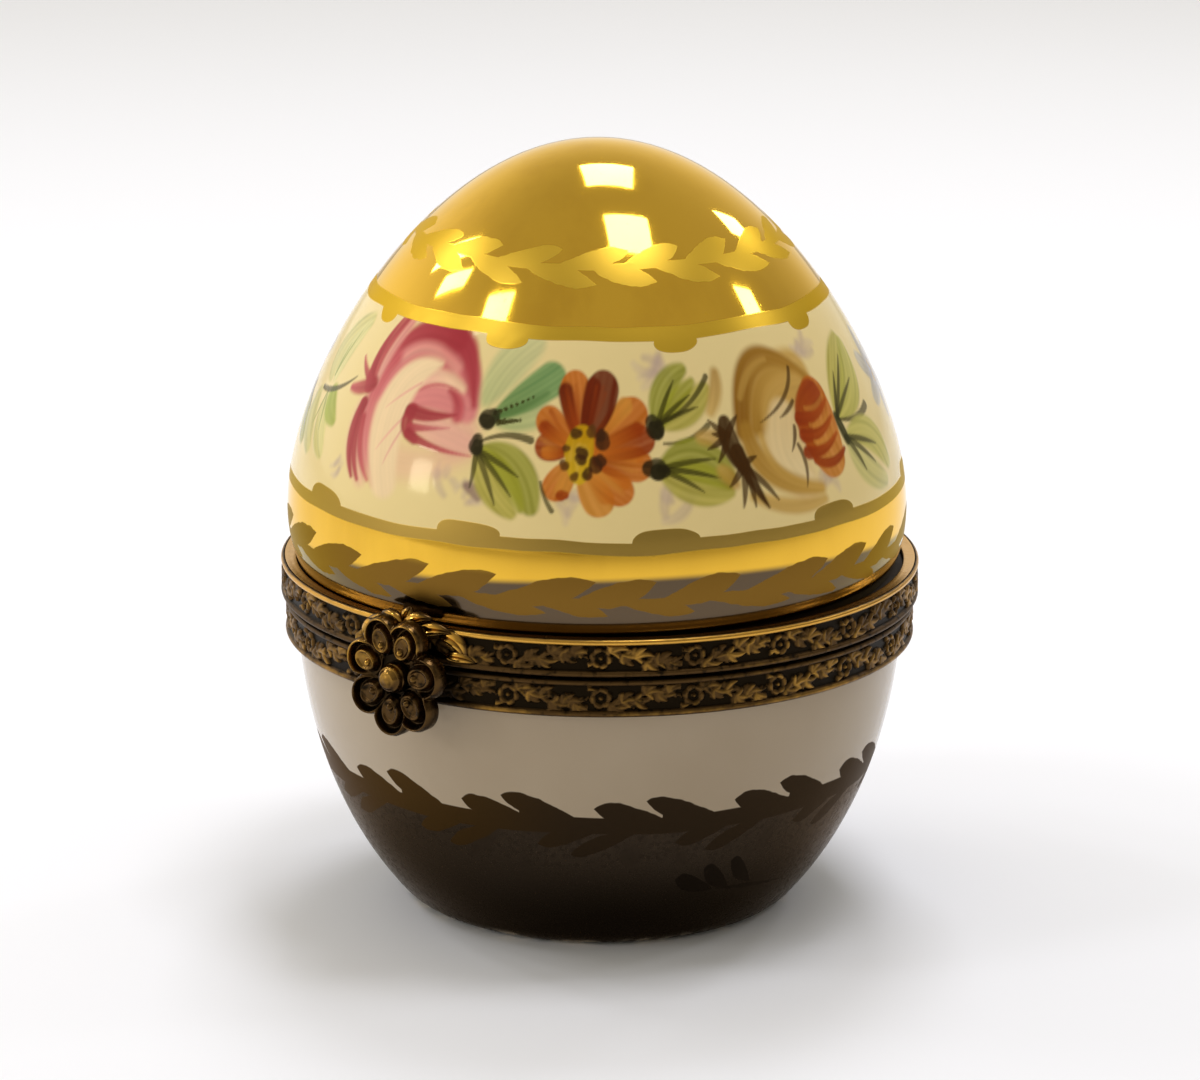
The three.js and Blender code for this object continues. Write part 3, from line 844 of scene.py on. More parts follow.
gilded_glaze = make_lid_finish()
print("the lid's finish has", len(gilded_glaze.node_tree.nodes), "nodes")

# %% [markdown]
# ## The inside glaze
# Inside, such a box is plain white glaze with a few specks. It has no gold, so a small material of its own is
# simpler than one more mask.

# %% Inside glaze
INSIDE_ROUGH = (0.08, 0.2)


def make_plain_glaze():
    material, tree, shader = new_material("white_glaze")
    specks = smooth_mask(tree, noise(tree, scale=700.0, detail=1.0), 0.74, 0.8)
    porcelain = ivory_glaze(tree, INSIDE_WHITE, INSIDE_WARM)
    feed(tree, shader, Base_Color=mixed(tree, specks, porcelain, INSIDE_SPECK))
    feed(tree, shader, Roughness=between(tree, noise(tree, scale=90.0), *INSIDE_ROUGH))
    ripples = noise(tree, scale=160.0, detail=1.0)
    feed(tree, shader, Normal=fine_bump(tree, ripples, strength=0.08, depth=0.02 * MM))
    return material


white_glaze = make_plain_glaze()
print("the inside glaze has", len(white_glaze.node_tree.nodes), "nodes")

# %% [markdown]
# ## The base's gilding
# The cup stays white under the rim. A garland closes the white, with broad leaves that rise from its stem
# and slim ones that fall. The rising leaves are filled down to the stem, so the gold has a scalloped edge.
# A small sprig lies near the foot.

# %% Base gilding
BASE_STEM = (13.1, 14.8)
STEM_SOFT = 0.06
RISING_ROOT = 13.6
FALLING_ROOT = 13.9
FOOT_SPRIG = 6.2
FOOT_TWIG = 5.2
FALLING_LEAVES = dict(Count=13.0, Pitch=11.8, Vary=0.12, Tip=6.0)
RISING_LEAVES = dict(Curl=0.85, Fill=0.8, **FALLING_LEAVES)
TWIG_LEAVES = dict(Count=2.0, Pitch=60.0, Vary=0.1)
SPRIG_LEAVES = dict(Tip=6.0, **TWIG_LEAVES)


def base_masks(tree, turn, height, hand_height):
    """Masks of all the gold, of the garland, and of the small sprig near the foot."""
    back = calc(tree, "SUBTRACT", 1.0, turn)

    def leaf(up, rise, length, width, start, shape):
        sizes = dict(Rise=rise, Length=length, Width=width, Start=start, **shape)
        return grouped(tree, leaf_row, Turn=back, Up=up, **sizes)["Mask"]

    rising = calc(tree, "SUBTRACT", hand_height, RISING_ROOT)
    upper = any_of(
        tree,
        leaf(rising, 2.2, 7.6, 2.3, 0.85, RISING_LEAVES),
        leaf(rising, 3.0, 7.8, 2.1, 0.21, RISING_LEAVES),
    )
    falling = calc(tree, "SUBTRACT", FALLING_ROOT, hand_height)
    lower = any_of(
        tree,
        leaf(falling, 2.0, 6.2, 1.7, 0.317, FALLING_LEAVES),
        leaf(falling, 3.1, 6.8, 1.7, 0.61, FALLING_LEAVES),
    )
    above = calc(tree, "SUBTRACT", height, FOOT_SPRIG)
    sprig = any_of(
        tree,
        leaf(above, 1.7, 3.6, 2.0, 0.344, SPRIG_LEAVES),
        leaf(above, 2.5, 2.8, 2.3, 0.367, SPRIG_LEAVES),
        leaf(above, 3.0, 2.8, 2.1, 0.402, SPRIG_LEAVES),
        leaf(calc(tree, "SUBTRACT", height, FOOT_TWIG), 1.1, 9.0, 0.7, 0.478, TWIG_LEAVES),
    )
    gold = any_of(tree, upper, under(tree, hand_height, BASE_STEM[1], STEM_SOFT))
    garland = any_of(tree, upper, lower, between_heights(tree, hand_height, *BASE_STEM))
    return gold, garland, sprig


# %% [markdown]
# ## The base's finish
# Below the garland the gold is painted dark, as a painted reflection of dark surroundings, with painted shade
# that deepens down to the foot, grit in it and wear at the edge where the egg has stood. The garland's gold
# is painted brighter on one side of the clasp and darker on the other, as painted light and shade, which a
# cosine of the turn gives.

# %% Base finish
# Painted light: where in the turn the garland is painted lit, and the cosines from there at which it is
# painted shaded and lit.
LIT_SIDE_TURN = 0.9
LIT_SIDE_REACH = (0.35, 0.95)
# Heights where the painted shade towards the foot and the wear of the foot start and are full.
FOOT_SHADE_EDGE = (12.5, 2.5)
WORN_EDGE = (1.1, 0.2)
STAIN = 0.4
BASE_POLISH = (0.2, 0.34)
BASE_SATIN = 0.42


def make_base_finish():
    material, tree, shader = new_material("base_glaze")
    turn, height = grouped(tree, egg_place)
    gold, garland, sprig = base_masks(tree, turn, height, by_hand(tree, height, scale=90.0))
    marks, specks = grouped(tree, handling_marks, Scale=320.0, Stretch=0.5)
    grit = smooth_mask(tree, noise(tree, scale=1900.0, detail=3.0), 0.35, 0.7)
    # Painted shade that deepens towards the foot.
    deep = smooth_mask(tree, height, *FOOT_SHADE_EDGE)
    shade_and_stain = any_of(tree, deep, times(tree, grit, STAIN), times(tree, marks, STAIN))
    painted_dark_reflection = mixed(tree, shade_and_stain, BASE_DARK_REFLECTION, BASE_DEEP_SHADE)
    # Painted light and shade: the garland is lighter on its lit side of the clasp and darker on the other.
    away = times(tree, calc(tree, "SUBTRACT", turn, LIT_SIDE_TURN), 2 * math.pi)
    bright = smooth_mask(tree, calc(tree, "COSINE", away), *LIT_SIDE_REACH)
    leaf_gold = mixed(tree, bright, SHADED_BASE_LEAF, LIT_BASE_LEAF)
    metal = mixed(tree, garland, painted_dark_reflection, mixed(tree, deep, leaf_gold, BASE_DEEP_SHADE))
    # The sprig near the foot takes the colour of the deepest painted shade.
    metal = mixed(tree, sprig, metal, BASE_DEEP_SHADE)

    chipped = smooth_mask(tree, noise(tree, scale=420.0, detail=3.0), 0.48, 0.62)
    worn = times(tree, smooth_mask(tree, height, *WORN_EDGE), chipped)
    gold = times(tree, gold, calc(tree, "SUBTRACT", 1.0, worn))
    # Painted shade: the base's porcelain takes the darker ivory.
    porcelain = ivory_glaze(tree, SHADED_BASE_IVORY, SHADED_BASE_IVORY_WARM)
    feed(tree, shader, Base_Color=mixed(tree, gold, porcelain, metal), Metallic=gold)
    polish = between(tree, any_of(tree, marks, grit), *BASE_POLISH)
    rough = between(tree, any_of(tree, garland, sprig), polish, BASE_SATIN)
    grain = times(tree, calc(tree, "ADD", grit, specks), gold)
    normal = fine_bump(tree, grain, strength=0.1, depth=0.02 * MM)
    feed(tree, shader, Roughness=between(tree, gold, GLAZE_ROUGH, rough), Normal=normal)
    feed(tree, shader, Specular_IOR_Level=BASE_SHINE, Specular_Tint=BASE_EDGE)
    return material


base_glaze = make_base_finish()
print("the base's finish has", len(base_glaze.node_tree.nodes), "nodes")

# %% [markdown]
# ## Glaze on the shells
# A shell is one mesh with two finishes. Each face gets the inside glaze where it looks to the axis or lies in
# the hollow, which its normal tells, and the gilded glaze everywhere else.


# %% Glaze the shells
def split_finish(piece, inside, faces_inside):
    """Second material for the faces that look to the inside of the shell."""
    piece.data.materials.append(inside)
    for face in piece.data.polygons:
        out = Vector((face.center.x, face.center.y, 0))
        face.material_index = int(faces_inside(face, out))


def lid_inside(face, out):
    return face.normal.z < -0.9 or (face.normal.z < 0.9 and face.normal.dot(out) < 0)


def base_inside(face, out):
    return face.normal.z > 0.9 or (face.normal.dot(out) < 0 and face.center.z > FOOT_EDGE)


finish_piece(lid_shell, "lid", gilded_glaze, "gilded_porcelain", "lid_shell")
finish_piece(base_shell, "base", base_glaze, "white_porcelain", "base_shell")
split_finish(lid_shell, white_glaze, lid_inside)
split_finish(base_shell, white_glaze, base_inside)

# %% [markdown]
# ## A canvas for the flowers
# The white band is painted by hand with enamel, stroke over stroke. A fine grid lies just over the glaze and
# each of its points holds a colour, so the strokes can be mixed in numpy, as on a canvas, and then stored as
# a colour attribute. The grid is about 0.12 mm wide, which is finer than the tip of the brush.

# %% Canvas
BAND_LOW = LOWER_TRIM[0] + 0.2
BAND_HIGH = UPPER_TRIM[1] - 0.2
BAND_ROWS = 131
BAND_COLUMNS = 1480

canvas_height = np.linspace(BAND_LOW, BAND_HIGH, BAND_ROWS)
canvas_turn = np.linspace(-180, 180, BAND_COLUMNS, endpoint=False)
canvas_colour = np.tile(np.array(IVORY[:3]), (BAND_ROWS, BAND_COLUMNS, 1))
canvas_body = np.zeros((BAND_ROWS, BAND_COLUMNS))
print("canvas of", canvas_body.size, "points from", BAND_LOW, "to", BAND_HIGH, "mm")

# %% [markdown]
# ## A pull of the brush
# A loaded brush leaves a band that swells and thins, with soft edges and streaks from its hairs. Each stroke
# is a bent path. For every canvas point near it, the closest point of the path gives the width, the colour
# on the way and the side, and the streaks follow the side.

# %% Brush
STROKE_STEP = 0.12
HAIR_PACES = (3.0, 6.0, 11.0)
bristles = np.random.default_rng(11)


def stroke_path(start, bend, end, widths):
    """Points along a stroke, the way it goes at each, and half its width there."""
    start, bend, end = (np.array(p, float) for p in (start, bend, end))
    steps = int(np.clip(np.linalg.norm(end - start) / STROKE_STEP, 16, 64))
    path = curve(start, bend, end, steps)
    ahead = np.gradient(path, axis=0)
    ahead /= np.linalg.norm(ahead, axis=1, keepdims=True) + 1e-9
    half = curve(widths[0:1], widths[1:2], widths[2:3], steps)[:, 0] / 2
    return path, ahead, half


def hair_marks(side, pull):
    """Streaks that the hairs of the brush leave, from -1 to 1."""
    hair = np.zeros_like(side)
    for pace in HAIR_PACES:
        pace = pace * bristles.uniform(0.7, 1.3)
        phase = bristles.uniform(0, 6)
        sway = 1.5 * np.sin(2 * pull + bristles.uniform(0, 6))
        hair += np.sin(pace * side + phase + sway) / len(HAIR_PACES)
    return hair


def brush(place, start, bend, end, widths, colour, tip=None, strength=1.0, soft=0.3, streak=0.1):
    """One pull of the brush. Points are in mm from the flower's middle. The widths are those at the start,
    at the bend and at the end. The colour goes over into the tip colour on the way."""
    turn, height = place
    path, ahead, half = stroke_path(start, bend, end, widths)
    reach = half.max() + soft
    radius = float(egg_radius(LID_EGG, height * MM)) / MM
    across = np.radians((canvas_turn - turn + 180) % 360 - 180) * radius
    up = canvas_height - height

    def near(places, line):
        return np.flatnonzero((places > line.min() - reach) & (places < line.max() + reach))

    rows = near(up, path[:, 1])
    columns = near(across, path[:, 0])
    dx = across[columns][None, :, None] - path[:, 0]
    dy = up[rows][:, None, None] - path[:, 1]
    distance = np.hypot(dx, dy) - half
    nearest = distance.argmin(-1)[..., None]
    edge = np.take_along_axis(distance, nearest, -1)[..., 0]
    side = np.take_along_axis(dx * ahead[:, 1] - dy * ahead[:, 0], nearest, -1)[..., 0]
    pull = np.linspace(0, 1, len(path))[nearest[..., 0]]
    hair = hair_marks(side, pull)
    cover = np.clip(0.5 - edge / soft, 0, 1)
    cover = cover * cover * (3 - 2 * cover) * strength * (1 - 0.5 * streak * (1 + hair))
    first = np.array(linear(colour)[:3])
    last = np.array(linear(tip or colour)[:3])
    paint = (first + (last - first) * pull[..., None]) * (1 + streak * hair)[..., None]
    block = np.ix_(rows, columns)
    canvas_colour[block] += (paint - canvas_colour[block]) * cover[..., None]
    canvas_body[block] = np.maximum(canvas_body[block] * (1 - 0.4 * cover), cover)


# %% [markdown]
# ## Lines and dots
# Most of a flower is made of the same few touches: a thin liner stroke and a dab with the tip. Both are short
# pulls of the brush. Two small helpers find points round a middle and between two others.


# %% Lines and dots
def polar(angle, reach, middle=(0, 0)):
    """Point at that angle in degrees and that reach in mm from the middle."""
    a = math.radians(angle)
    return (middle[0] + reach * math.cos(a), middle[1] + reach * math.sin(a))


def halfway(a, b, lift=0.0):
    """Point between two others, moved sideways by a share of their distance."""
    dx, dy = b[0] - a[0], b[1] - a[1]
    return ((a[0] + b[0]) / 2 - lift * dy, (a[1] + b[1]) / 2 + lift * dx)


def line(place, start, bend, end, width, colour, strength=0.9):
    """Thin liner stroke that swells a little and runs out to a point."""
    brush(place, start, bend, end, (width * 0.8, width * 1.2, width * 0.25), colour, None, strength, 0.2)


def dot(place, at, size, colour, soft=0.25):
    """Touch of the brush tip, a little longer than wide."""
    end = polar(math.degrees(bristles.uniform(0, math.pi)), 0.35 * size, at)
    brush(place, at, at, end, (size, size * 0.95, size * 0.75), colour, None, 0.95, soft)


# %% [markdown]
# ## Leaves and filler blossoms
# Each leaf starts at a dark knot. Two broad pulls lay the halves of the blade, one of them paler, and thin
# dark veins run out from the knot. Lilac blossoms are only a few touches of thin paint between the flowers.

# %% Leaves
LEAF_GREEN = "#8c8d1d"
LEAF_MIDDLE = "#999727"
LEAF_PALE = "#aea33c"
LEAF_DARK = "#332f08"
LEAF_WASHED = "#c6bd72"
KNOT = "#1d1808"
LILAC = "#a98d8c"
LILAC_PALE = "#cdb49c"
LILAC_DEEP = "#765557"
LILAC_BROWN = "#8e7068"


def blade(place, start, bend, end, width, colour):
    """One half of a leaf."""
    brush(place, start, bend, end, (0.7, width * 1.5, width * 0.45), colour, None, 0.92, 0.5, 0.16)


def veins(place, start, ends, width=0.4, colour=LEAF_DARK):
    for end in ends:
        line(place, start, halfway(start, end, 0.06), end, width, colour, 0.85)


def knot(place, at, size=1.2):
    dot(place, at, size, KNOT)
    dot(place, (at[0] + 0.1, at[1] - 0.25), size * 0.8, KNOT)


def lilac(place, size=1.6, dark=False):
    for _ in range(4):
        start = polar(bristles.uniform(0, 360), size * bristles.uniform(0.2, 0.8))
        end = polar(bristles.uniform(0, 360), size * bristles.uniform(0.7, 1.1))
        widths = (size * 0.3, size * bristles.uniform(0.5, 0.9), size * 0.25)
        brush(place, start, halfway(start, end, 0.3), end, widths, LILAC, LILAC_PALE, 0.42, 0.6)
    if dark:
        brush(place, (-0.5, 0.4), (0.2, 0.2), (0.7, -0.4), (0.7, 1.4, 0.8), LILAC_DEEP, LILAC_BROWN, 0.8, 0.5)


# %% [markdown]
# ## The pink rose
# A cabbage rose is built from arcs. A deep hood goes over the top and down one side, paler arcs follow inside
# it, a cream petal is turned outwards, and a few dark tapering strokes make the heart.

# %% Pink rose
ROSE_DEEP = "#a02c38"
ROSE_BRICK = "#ae3b44"
ROSE = "#c25359"
ROSE_SOFT = "#d9817c"
ROSE_PALE = "#e7ac94"
CREAM = "#f0d2a2"


def pink_rose(place):
    pull = partial(brush, place)
    # Thin washes under the whole flower.
    pull((-3.8, -4.0), (-2.2, 6.4), (5.0, -1.8), (4, 7.5, 4), ROSE_PALE, strength=0.8, soft=1.8, streak=0.04)
    pull((-2.0, -4.6), (1.2, -5.6), (6.0, -3.4), (3, 3, 1.6), ROSE_PALE, strength=0.5, soft=2.0, streak=0.04)
    pull((-6.2, -1.2), (-6.2, -4.2), (-4.0, -7.0), (1.6, 3.2, 1.4), ROSE_PALE, strength=0.75, soft=1.2)
    # The hood: its middle tone first, then the deep edge over the top and down the right side.
    pull((-5.0, 0.6), (-3.6, 6.6), (3.4, 4.2), (2.4, 3.4, 3.4), ROSE_SOFT, ROSE, soft=1.0, streak=0.05)
    pull((2.6, 4.4), (5.4, 3.2), (5.6, 0.0), (3.0, 2.9, 1.9), ROSE, ROSE_SOFT, soft=0.8, streak=0.06)
    pull((2.2, 5.6), (4.9, 5.2), (6.0, 0.6), (1.9, 2.0, 0.7), ROSE_DEEP, ROSE_BRICK, soft=0.9, streak=0.05)
    pull((-5.2, 2.4), (-3.8, 6.9), (2.6, 5.5), (0.6, 2.0, 2.1), ROSE_BRICK, ROSE_DEEP, soft=0.9, streak=0.05)
    pull((-4.3, 2.0), (-1.8, 5.8), (3.4, 3.2), (0.5, 1.1, 1.0), ROSE_PALE, None, 0.55, 1.0, 0.2)
    # The petals round the heart.
    pull((0.4, 1.9), (2.4, 2.9), (4.4, 1.6), (0.6, 1.5, 1.0), ROSE_PALE, CREAM, strength=0.8, soft=0.8)
    pull((-0.2, 0.2), (2.2, 1.2), (4.8, 0.2), (1.6, 2.4, 1.9), ROSE_SOFT, ROSE_SOFT, soft=0.8, streak=0.06)
    line(place, (0.0, 1.0), (1.8, 2.2), (4.1, 1.5), 0.35, ROSE, 0.6)
    pull((3.4, 1.4), (4.9, 0.8), (4.7, -0.6), (0.4, 1.3, 1.0), ROSE_BRICK, ROSE, soft=0.7)
    pull((0.8, -1.7), (3.6, -2.0), (6.2, -2.6), (1.4, 3.0, 1.4), ROSE_PALE, None, 0.85, 1.1, 0.05)
    # The cream petal that is turned outwards, with its pink edge.
    pull((-4.3, 2.9), (-7.2, -1.4), (-2.2, -7.0), (1.6, 2.0, 0.7), ROSE, ROSE_SOFT, soft=1.1, streak=0.08)
    pull((1.5, 3.3), (-4.6, 2.0), (-1.2, -6.9), (0.5, 5.6, 2.6), CREAM, soft=0.8, streak=0.04)
    for start, end in (
        ((0.0, 1.6), (-3.2, -0.9)),
        ((-0.8, -1.4), (-2.9, -4.4)),
        ((-0.6, -2.4), (-1.7, -5.4)),
    ):
        line(place, start, halfway(start, end, -0.05), end, 0.28, ROSE_PALE, 0.9)
    # The dark heart with its three tapering strokes.
    pull((0.0, -0.6), (-0.9, -1.9), (1.0, -2.9), (1.0, 1.7, 0.8), ROSE_DEEP, soft=0.4)
    pull((-0.2, -0.7), (2.0, -1.0), (4.6, -0.4), (1.3, 1.1, 0.2), ROSE_DEEP, ROSE_BRICK, soft=0.35)
    pull((0.2, -2.0), (2.4, -1.8), (4.2, -1.5), (0.8, 0.4, 0.12), ROSE_BRICK, ROSE_SOFT)
    pull((0.2, -2.5), (2.6, -3.4), (6.6, -3.5), (0.9, 0.6, 0.12), ROSE_DEEP, ROSE, soft=0.35)
    # Loose petals at the left.
    pull((-5.9, 0.8), (-6.2, 3.4), (-4.5, 5.9), (0.9, 2.1, 1.2), ROSE_PALE, ROSE_SOFT, strength=0.9, soft=0.8)
    pull((-6.4, 0.4), (-7.4, 3.0), (-5.3, 6.1), (1.3, 1.7, 1.0), ROSE_BRICK, ROSE_BRICK, soft=0.6)
    pull((-6.5, 0.3), (-7.9, 3.0), (-6.0, 6.0), (1.1, 0.7, 0.3), ROSE_DEEP, ROSE_BRICK, soft=0.4)
    pull((-9.2, 2.3), (-8.0, 1.2), (-6.4, 0.7), (0.25, 0.6, 0.9), ROSE, ROSE_DEEP)
    pull((-9.0, -0.3), (-7.6, -0.2), (-6.0, 0.6), (0.7, 1.5, 1.2), ROSE, ROSE_DEEP, soft=0.5)
    for bend, end, width in (((-7.2, -4.2), (-5.1, -7.1), 1.2), ((-6.4, -4.4), (-4.3, -7.2), 1.0)):
        pull((-6.3, -1.1), bend, end, (1.0, width, 0.4), ROSE_DEEP, ROSE_BRICK, soft=0.4)
    pull((-5.7, -2.2), (-5.2, -5.0), (-3.1, -7.0), (0.8, 0.9, 0.3), ROSE_BRICK, ROSE, soft=0.5)


# %% [markdown]
# ## The orange daisy
# Ten petals round a yellow eye. Each petal is pulled from its rim to the eye and is loaded with two colours,
# so one side is darker. The upper petals are a deep red brown.

# %% Orange daisy
ORANGE = "#c46a1c"
ORANGE_PALE = "#d18a34"
RUSSET = "#993806"
RUSSET_DEEP = "#6c1c04"
EYE_GOLD = "#c3920a"
EYE_PALE = "#cda61c"
SEED_DARK = "#3d1c0a"
SEED_BROWN = "#5d3610"
# Angle and reach of each petal, its width, and the colours of its left half, right half and foot.
DAISY_PETALS = [
    (236, 4.4, 2.4, ORANGE_PALE, ORANGE, ORANGE_PALE),
    (293, 5.3, 2.6, ORANGE, ORANGE_PALE, ORANGE_PALE),
    (318, 5.6, 2.5, ORANGE, ORANGE, ORANGE_PALE),
    (349, 6.1, 2.7, ORANGE, ORANGE, RUSSET),
    (170, 3.9, 2.3, ORANGE, RUSSET, RUSSET),
    (138, 4.9, 2.4, RUSSET, ORANGE, ORANGE),
    (33, 6.7, 2.9, ORANGE_PALE, ORANGE, ORANGE),
    (11, 6.6, 2.4, RUSSET, RUSSET, ORANGE),
    (97, 6.3, 2.8, RUSSET_DEEP, ORANGE, RUSSET),
    (68, 6.6, 3.0, RUSSET_DEEP, RUSSET_DEEP, RUSSET_DEEP),
]
# Places and sizes of the seeds in the eye, by colour.
DAISY_SEEDS = {
    SEED_DARK: [
        ((2.0, 0.9), 1.3),
        ((1.8, 1.4), 0.9),
        ((0.3, 0.0), 1.0),
        ((0.2, -0.5), 0.9),
        ((0.7, -1.7), 0.9),
        ((1.4, -1.0), 1.2),
        ((1.9, -0.6), 0.9),
        ((-0.4, 1.6), 0.9),
    ],
    SEED_BROWN: [((1.0, 1.7), 0.9), ((-1.2, 0.4), 0.6), ((-1.2, -1.0), 0.8), ((-0.4, -1.9), 0.7)],
    RUSSET: [((-1.4, -3.4), 0.9)],
}


def orange_daisy(place):
    for angle, reach, width, left, right, foot in DAISY_PETALS:
        eye = polar(angle, 1.3)
        rim = polar(angle, reach - 1.1)
        widths = (width, width * 1.05, 0.9)
        brush(place, rim, halfway(rim, eye, 0.06), eye, widths, right, foot)
        rim = polar(angle + 10, reach - 1.2)
        widths = (width * 0.5, width * 0.5, 0.5)
        brush(place, rim, halfway(rim, eye, -0.05), eye, widths, left, foot, soft=0.4)
        tone = ORANGE_PALE if left in (ORANGE, ORANGE_PALE) else RUSSET
        for _ in range(3):
            start = polar(angle + bristles.uniform(-11, 11), reach * bristles.uniform(0.75, 0.95))
            brush(place, start, halfway(start, eye, 0.02), eye, (0.3, 0.4, 0.2), tone, foot, 0.35, 0.35)
    brush(place, (0.2, 1.3), (-0.2, 0.2), (0.0, -1.8), (2.0, 3.2, 1.4), EYE_GOLD, EYE_PALE)
    for colour, seeds in DAISY_SEEDS.items():
        for at, size in seeds:
            dot(place, at, size, colour)


# %% [markdown]
# ## The beige rose and its bud
# The second rose is painted in tan and cream, seen from the side, with a dark brown calyx at its left. An
# orange bud with red zigzag petals leans on it.

# %% Beige rose
TAN = "#a87a2a"
TAN_DEEP = "#8c5a0a"
TAN_PALE = "#c69b48"
TAN_CREAM = "#e4c68c"
TAN_SOFT = "#c79c4e"
TAN_WHITE = "#ecd39c"
UMBER = "#3f2104"
BUD = "#bd6414"
BUD_PALE = "#c87e2e"
BUD_SIDE = "#a84a08"
ZIGZAG = "#963204"
ZIGZAG_PALE = "#ad4a0a"


def beige_rose(place):
    pull = partial(brush, place)
    # The body, the tan crescent round it, and the paler arcs inside.
    pull((4.8, 3.2), (-1.2, 2.4), (2.6, -5.6), (4.2, 7.0, 3.2), TAN_PALE, TAN_CREAM, 0.9, 1.0, 0.04)
    pull((6.3, 2.6), (-1.2, 8.4), (-2.6, -0.5), (1.0, 3.2, 1.6), TAN, TAN_DEEP, soft=0.7, streak=0.05)
    pull((5.4, 2.0), (0.4, 5.4), (-1.2, -0.4), (1.2, 2.6, 1.5), TAN_PALE, TAN, soft=1.0, streak=0.04)
    pull((4.6, 2.2), (0.6, 2.4), (0.4, -0.4), (2.2, 2.8, 1.4), TAN_SOFT, TAN_PALE, soft=1.1, streak=0.05)
    pull((1.8, 4.8), (-0.8, 4.6), (-2.2, 2.2), (0.4, 0.9, 0.5), TAN_PALE, strength=0.6, soft=0.5)
    # The cream petal and the tan petals under it.
    pull((1.8, 0.2), (0.0, -3.0), (2.8, -5.5), (2.8, 3.8, 1.8), TAN_CREAM, TAN_WHITE, soft=0.9, streak=0.04)
    pull((-2.3, -0.4), (-2.2, -5.0), (4.2, -6.2), (1.4, 2.6, 1.1), TAN, TAN_PALE, soft=0.8, streak=0.06)
    pull((-1.0, -1.0), (-0.8, -4.2), (2.4, -5.6), (0.5, 0.9, 0.4), TAN_PALE, strength=0.8, soft=0.5)
    pull((-2.6, -5.8), (1.0, -7.8), (4.4, -7.2), (0.9, 1.9, 0.8), TAN_PALE, strength=0.85, soft=0.7)
    for start, bend, end in (
        ((4.4, 3.8), (3.4, 1.4), (-0.7, 0.0)),
        ((3.5, 1.2), (2.7, 0.5), (1.5, 0.1)),
        ((2.8, -0.8), (2.6, -1.8), (1.9, -2.7)),
        ((2.7, -2.3), (3.4, -4.0), (2.7, -5.8)),
    ):
        line(place, start, bend, end, 0.45, UMBER, 0.85)
    # Smears of thin brown at the left, then the dark calyx with its spikes.
    pull((-4.2, 4.3), (-4.4, 2.8), (-5.4, 1.4), (0.9, 1.7, 0.9), TAN, TAN_PALE, strength=0.8, soft=0.7)
    pull((-6.7, -0.6), (-6.0, -0.8), (-4.8, -0.6), (1.0, 1.7, 0.9), TAN_PALE, TAN, strength=0.8, soft=0.7)
    pull((-5.2, -3.4), (-4.8, -3.8), (-4.2, -4.6), (1.0, 1.7, 0.9), TAN_PALE, TAN, strength=0.8, soft=0.7)
    pull((-4.3, 0.4), (-4.4, -1.4), (-3.2, -3.4), (1.2, 2.4, 1.1), UMBER)
    pull((-3.6, -2.0), (-2.8, -4.6), (-1.4, -6.9), (1.3, 1.2, 0.2), UMBER)
    for start, ends in (
        ((-4.2, -0.6), ((-5.8, 0.7), (-6.2, -1.6), (-5.6, -0.4), (-3.0, 0.8), (-5.4, -2.7))),
        ((-3.3, -3.2), ((-3.7, -6.6), (-2.6, -6.7), (-4.7, -4.8), (-0.4, -6.4), (-1.9, -2.6))),
    ):
        for end in ends:
            line(place, start, halfway(start, end, 0.08), end, 0.65, UMBER)


def orange_bud(place):
    brush(place, (0.5, 2.5), (-0.5, 0.2), (0.4, -2.5), (3.4, 6.2, 3.6), BUD, BUD_PALE)
    brush(place, (0.3, 2.7), (-2.5, 1.8), (-1.7, -1.4), (2.6, 2.6, 1.0), RUSSET, BUD_SIDE, soft=0.4)
    for low in (1.1, -0.3, -1.7):
        start, bend, end = (-2.3, low), (-0.4, low - 0.5), (1.9, low + 0.9)
        brush(place, start, bend, end, (1.2, 1.0, 0.3), ZIGZAG, ZIGZAG_PALE)
        start, bend, end = (-1.2, low + 0.7), (0.2, low + 0.3), (1.6, low + 1.3)
        brush(place, start, bend, end, (0.4, 0.5, 0.3), ORANGE_PALE, None, 0.5)
    brush(place, (-1.6, -2.5), (0.4, -3.6), (2.4, -2.2), (0.7, 1.1, 0.4), RUSSET)


# %% [markdown]
# ## Teal leaves and tendrils
# Next to the rose are two leaves in a cool green, wet paint over a pale wash, with rows of dark dots for
# veins. Tendrils are single thin pulls that end thicker than they start.

# %% Teal leaves
TEAL = ("#67894a", "#73975a")
TEAL_SHADE = ("#54753a", "#618448")
TEAL_SIDE = ("#93a764", "#adb87c")
TEAL_WASH = ("#a9b478", "#c3c389")


def teal_leaves(place):
    brush(place, (-2.4, 0.2), (-1.5, 3.0), (1.0, 4.8), (1.2, 4.6, 2.6), *TEAL_WASH, 0.8, 1.0)
    brush(place, (-1.2, -1.4), (1.0, -1.3), (2.8, -0.6), (0.8, 2.6, 1.6), *TEAL_SIDE, 0.85, 0.8)
    brush(place, (-1.3, -0.9), (0.8, 0.5), (3.2, 2.1), (0.8, 2.8, 2.9), *TEAL, soft=0.45)
    brush(place, (-1.2, -1.0), (1.2, -0.2), (3.0, 1.0), (0.5, 0.9, 0.5), *TEAL_SHADE, 0.7, 0.5)
    for start, end, size in (((-1.4, -0.8), (1.8, 0.7), 0.4), ((-1.0, -1.5), (0.9, -1.2), 0.5)):
        start, end = np.array(start), np.array(end)
        for share in np.linspace(0, 1, 8):
            dot(place, start + (end - start) * share, size * (1 - 0.5 * share), LEAF_DARK, 0.15)
    knot(place, (-2.0, -1.3), 1.6)


def tendril(place, start, bend, end, width=0.5):
    brush(place, start, bend, end, (0.25, width, width * 1.3), LEAF_DARK, None, 0.85, 0.2)


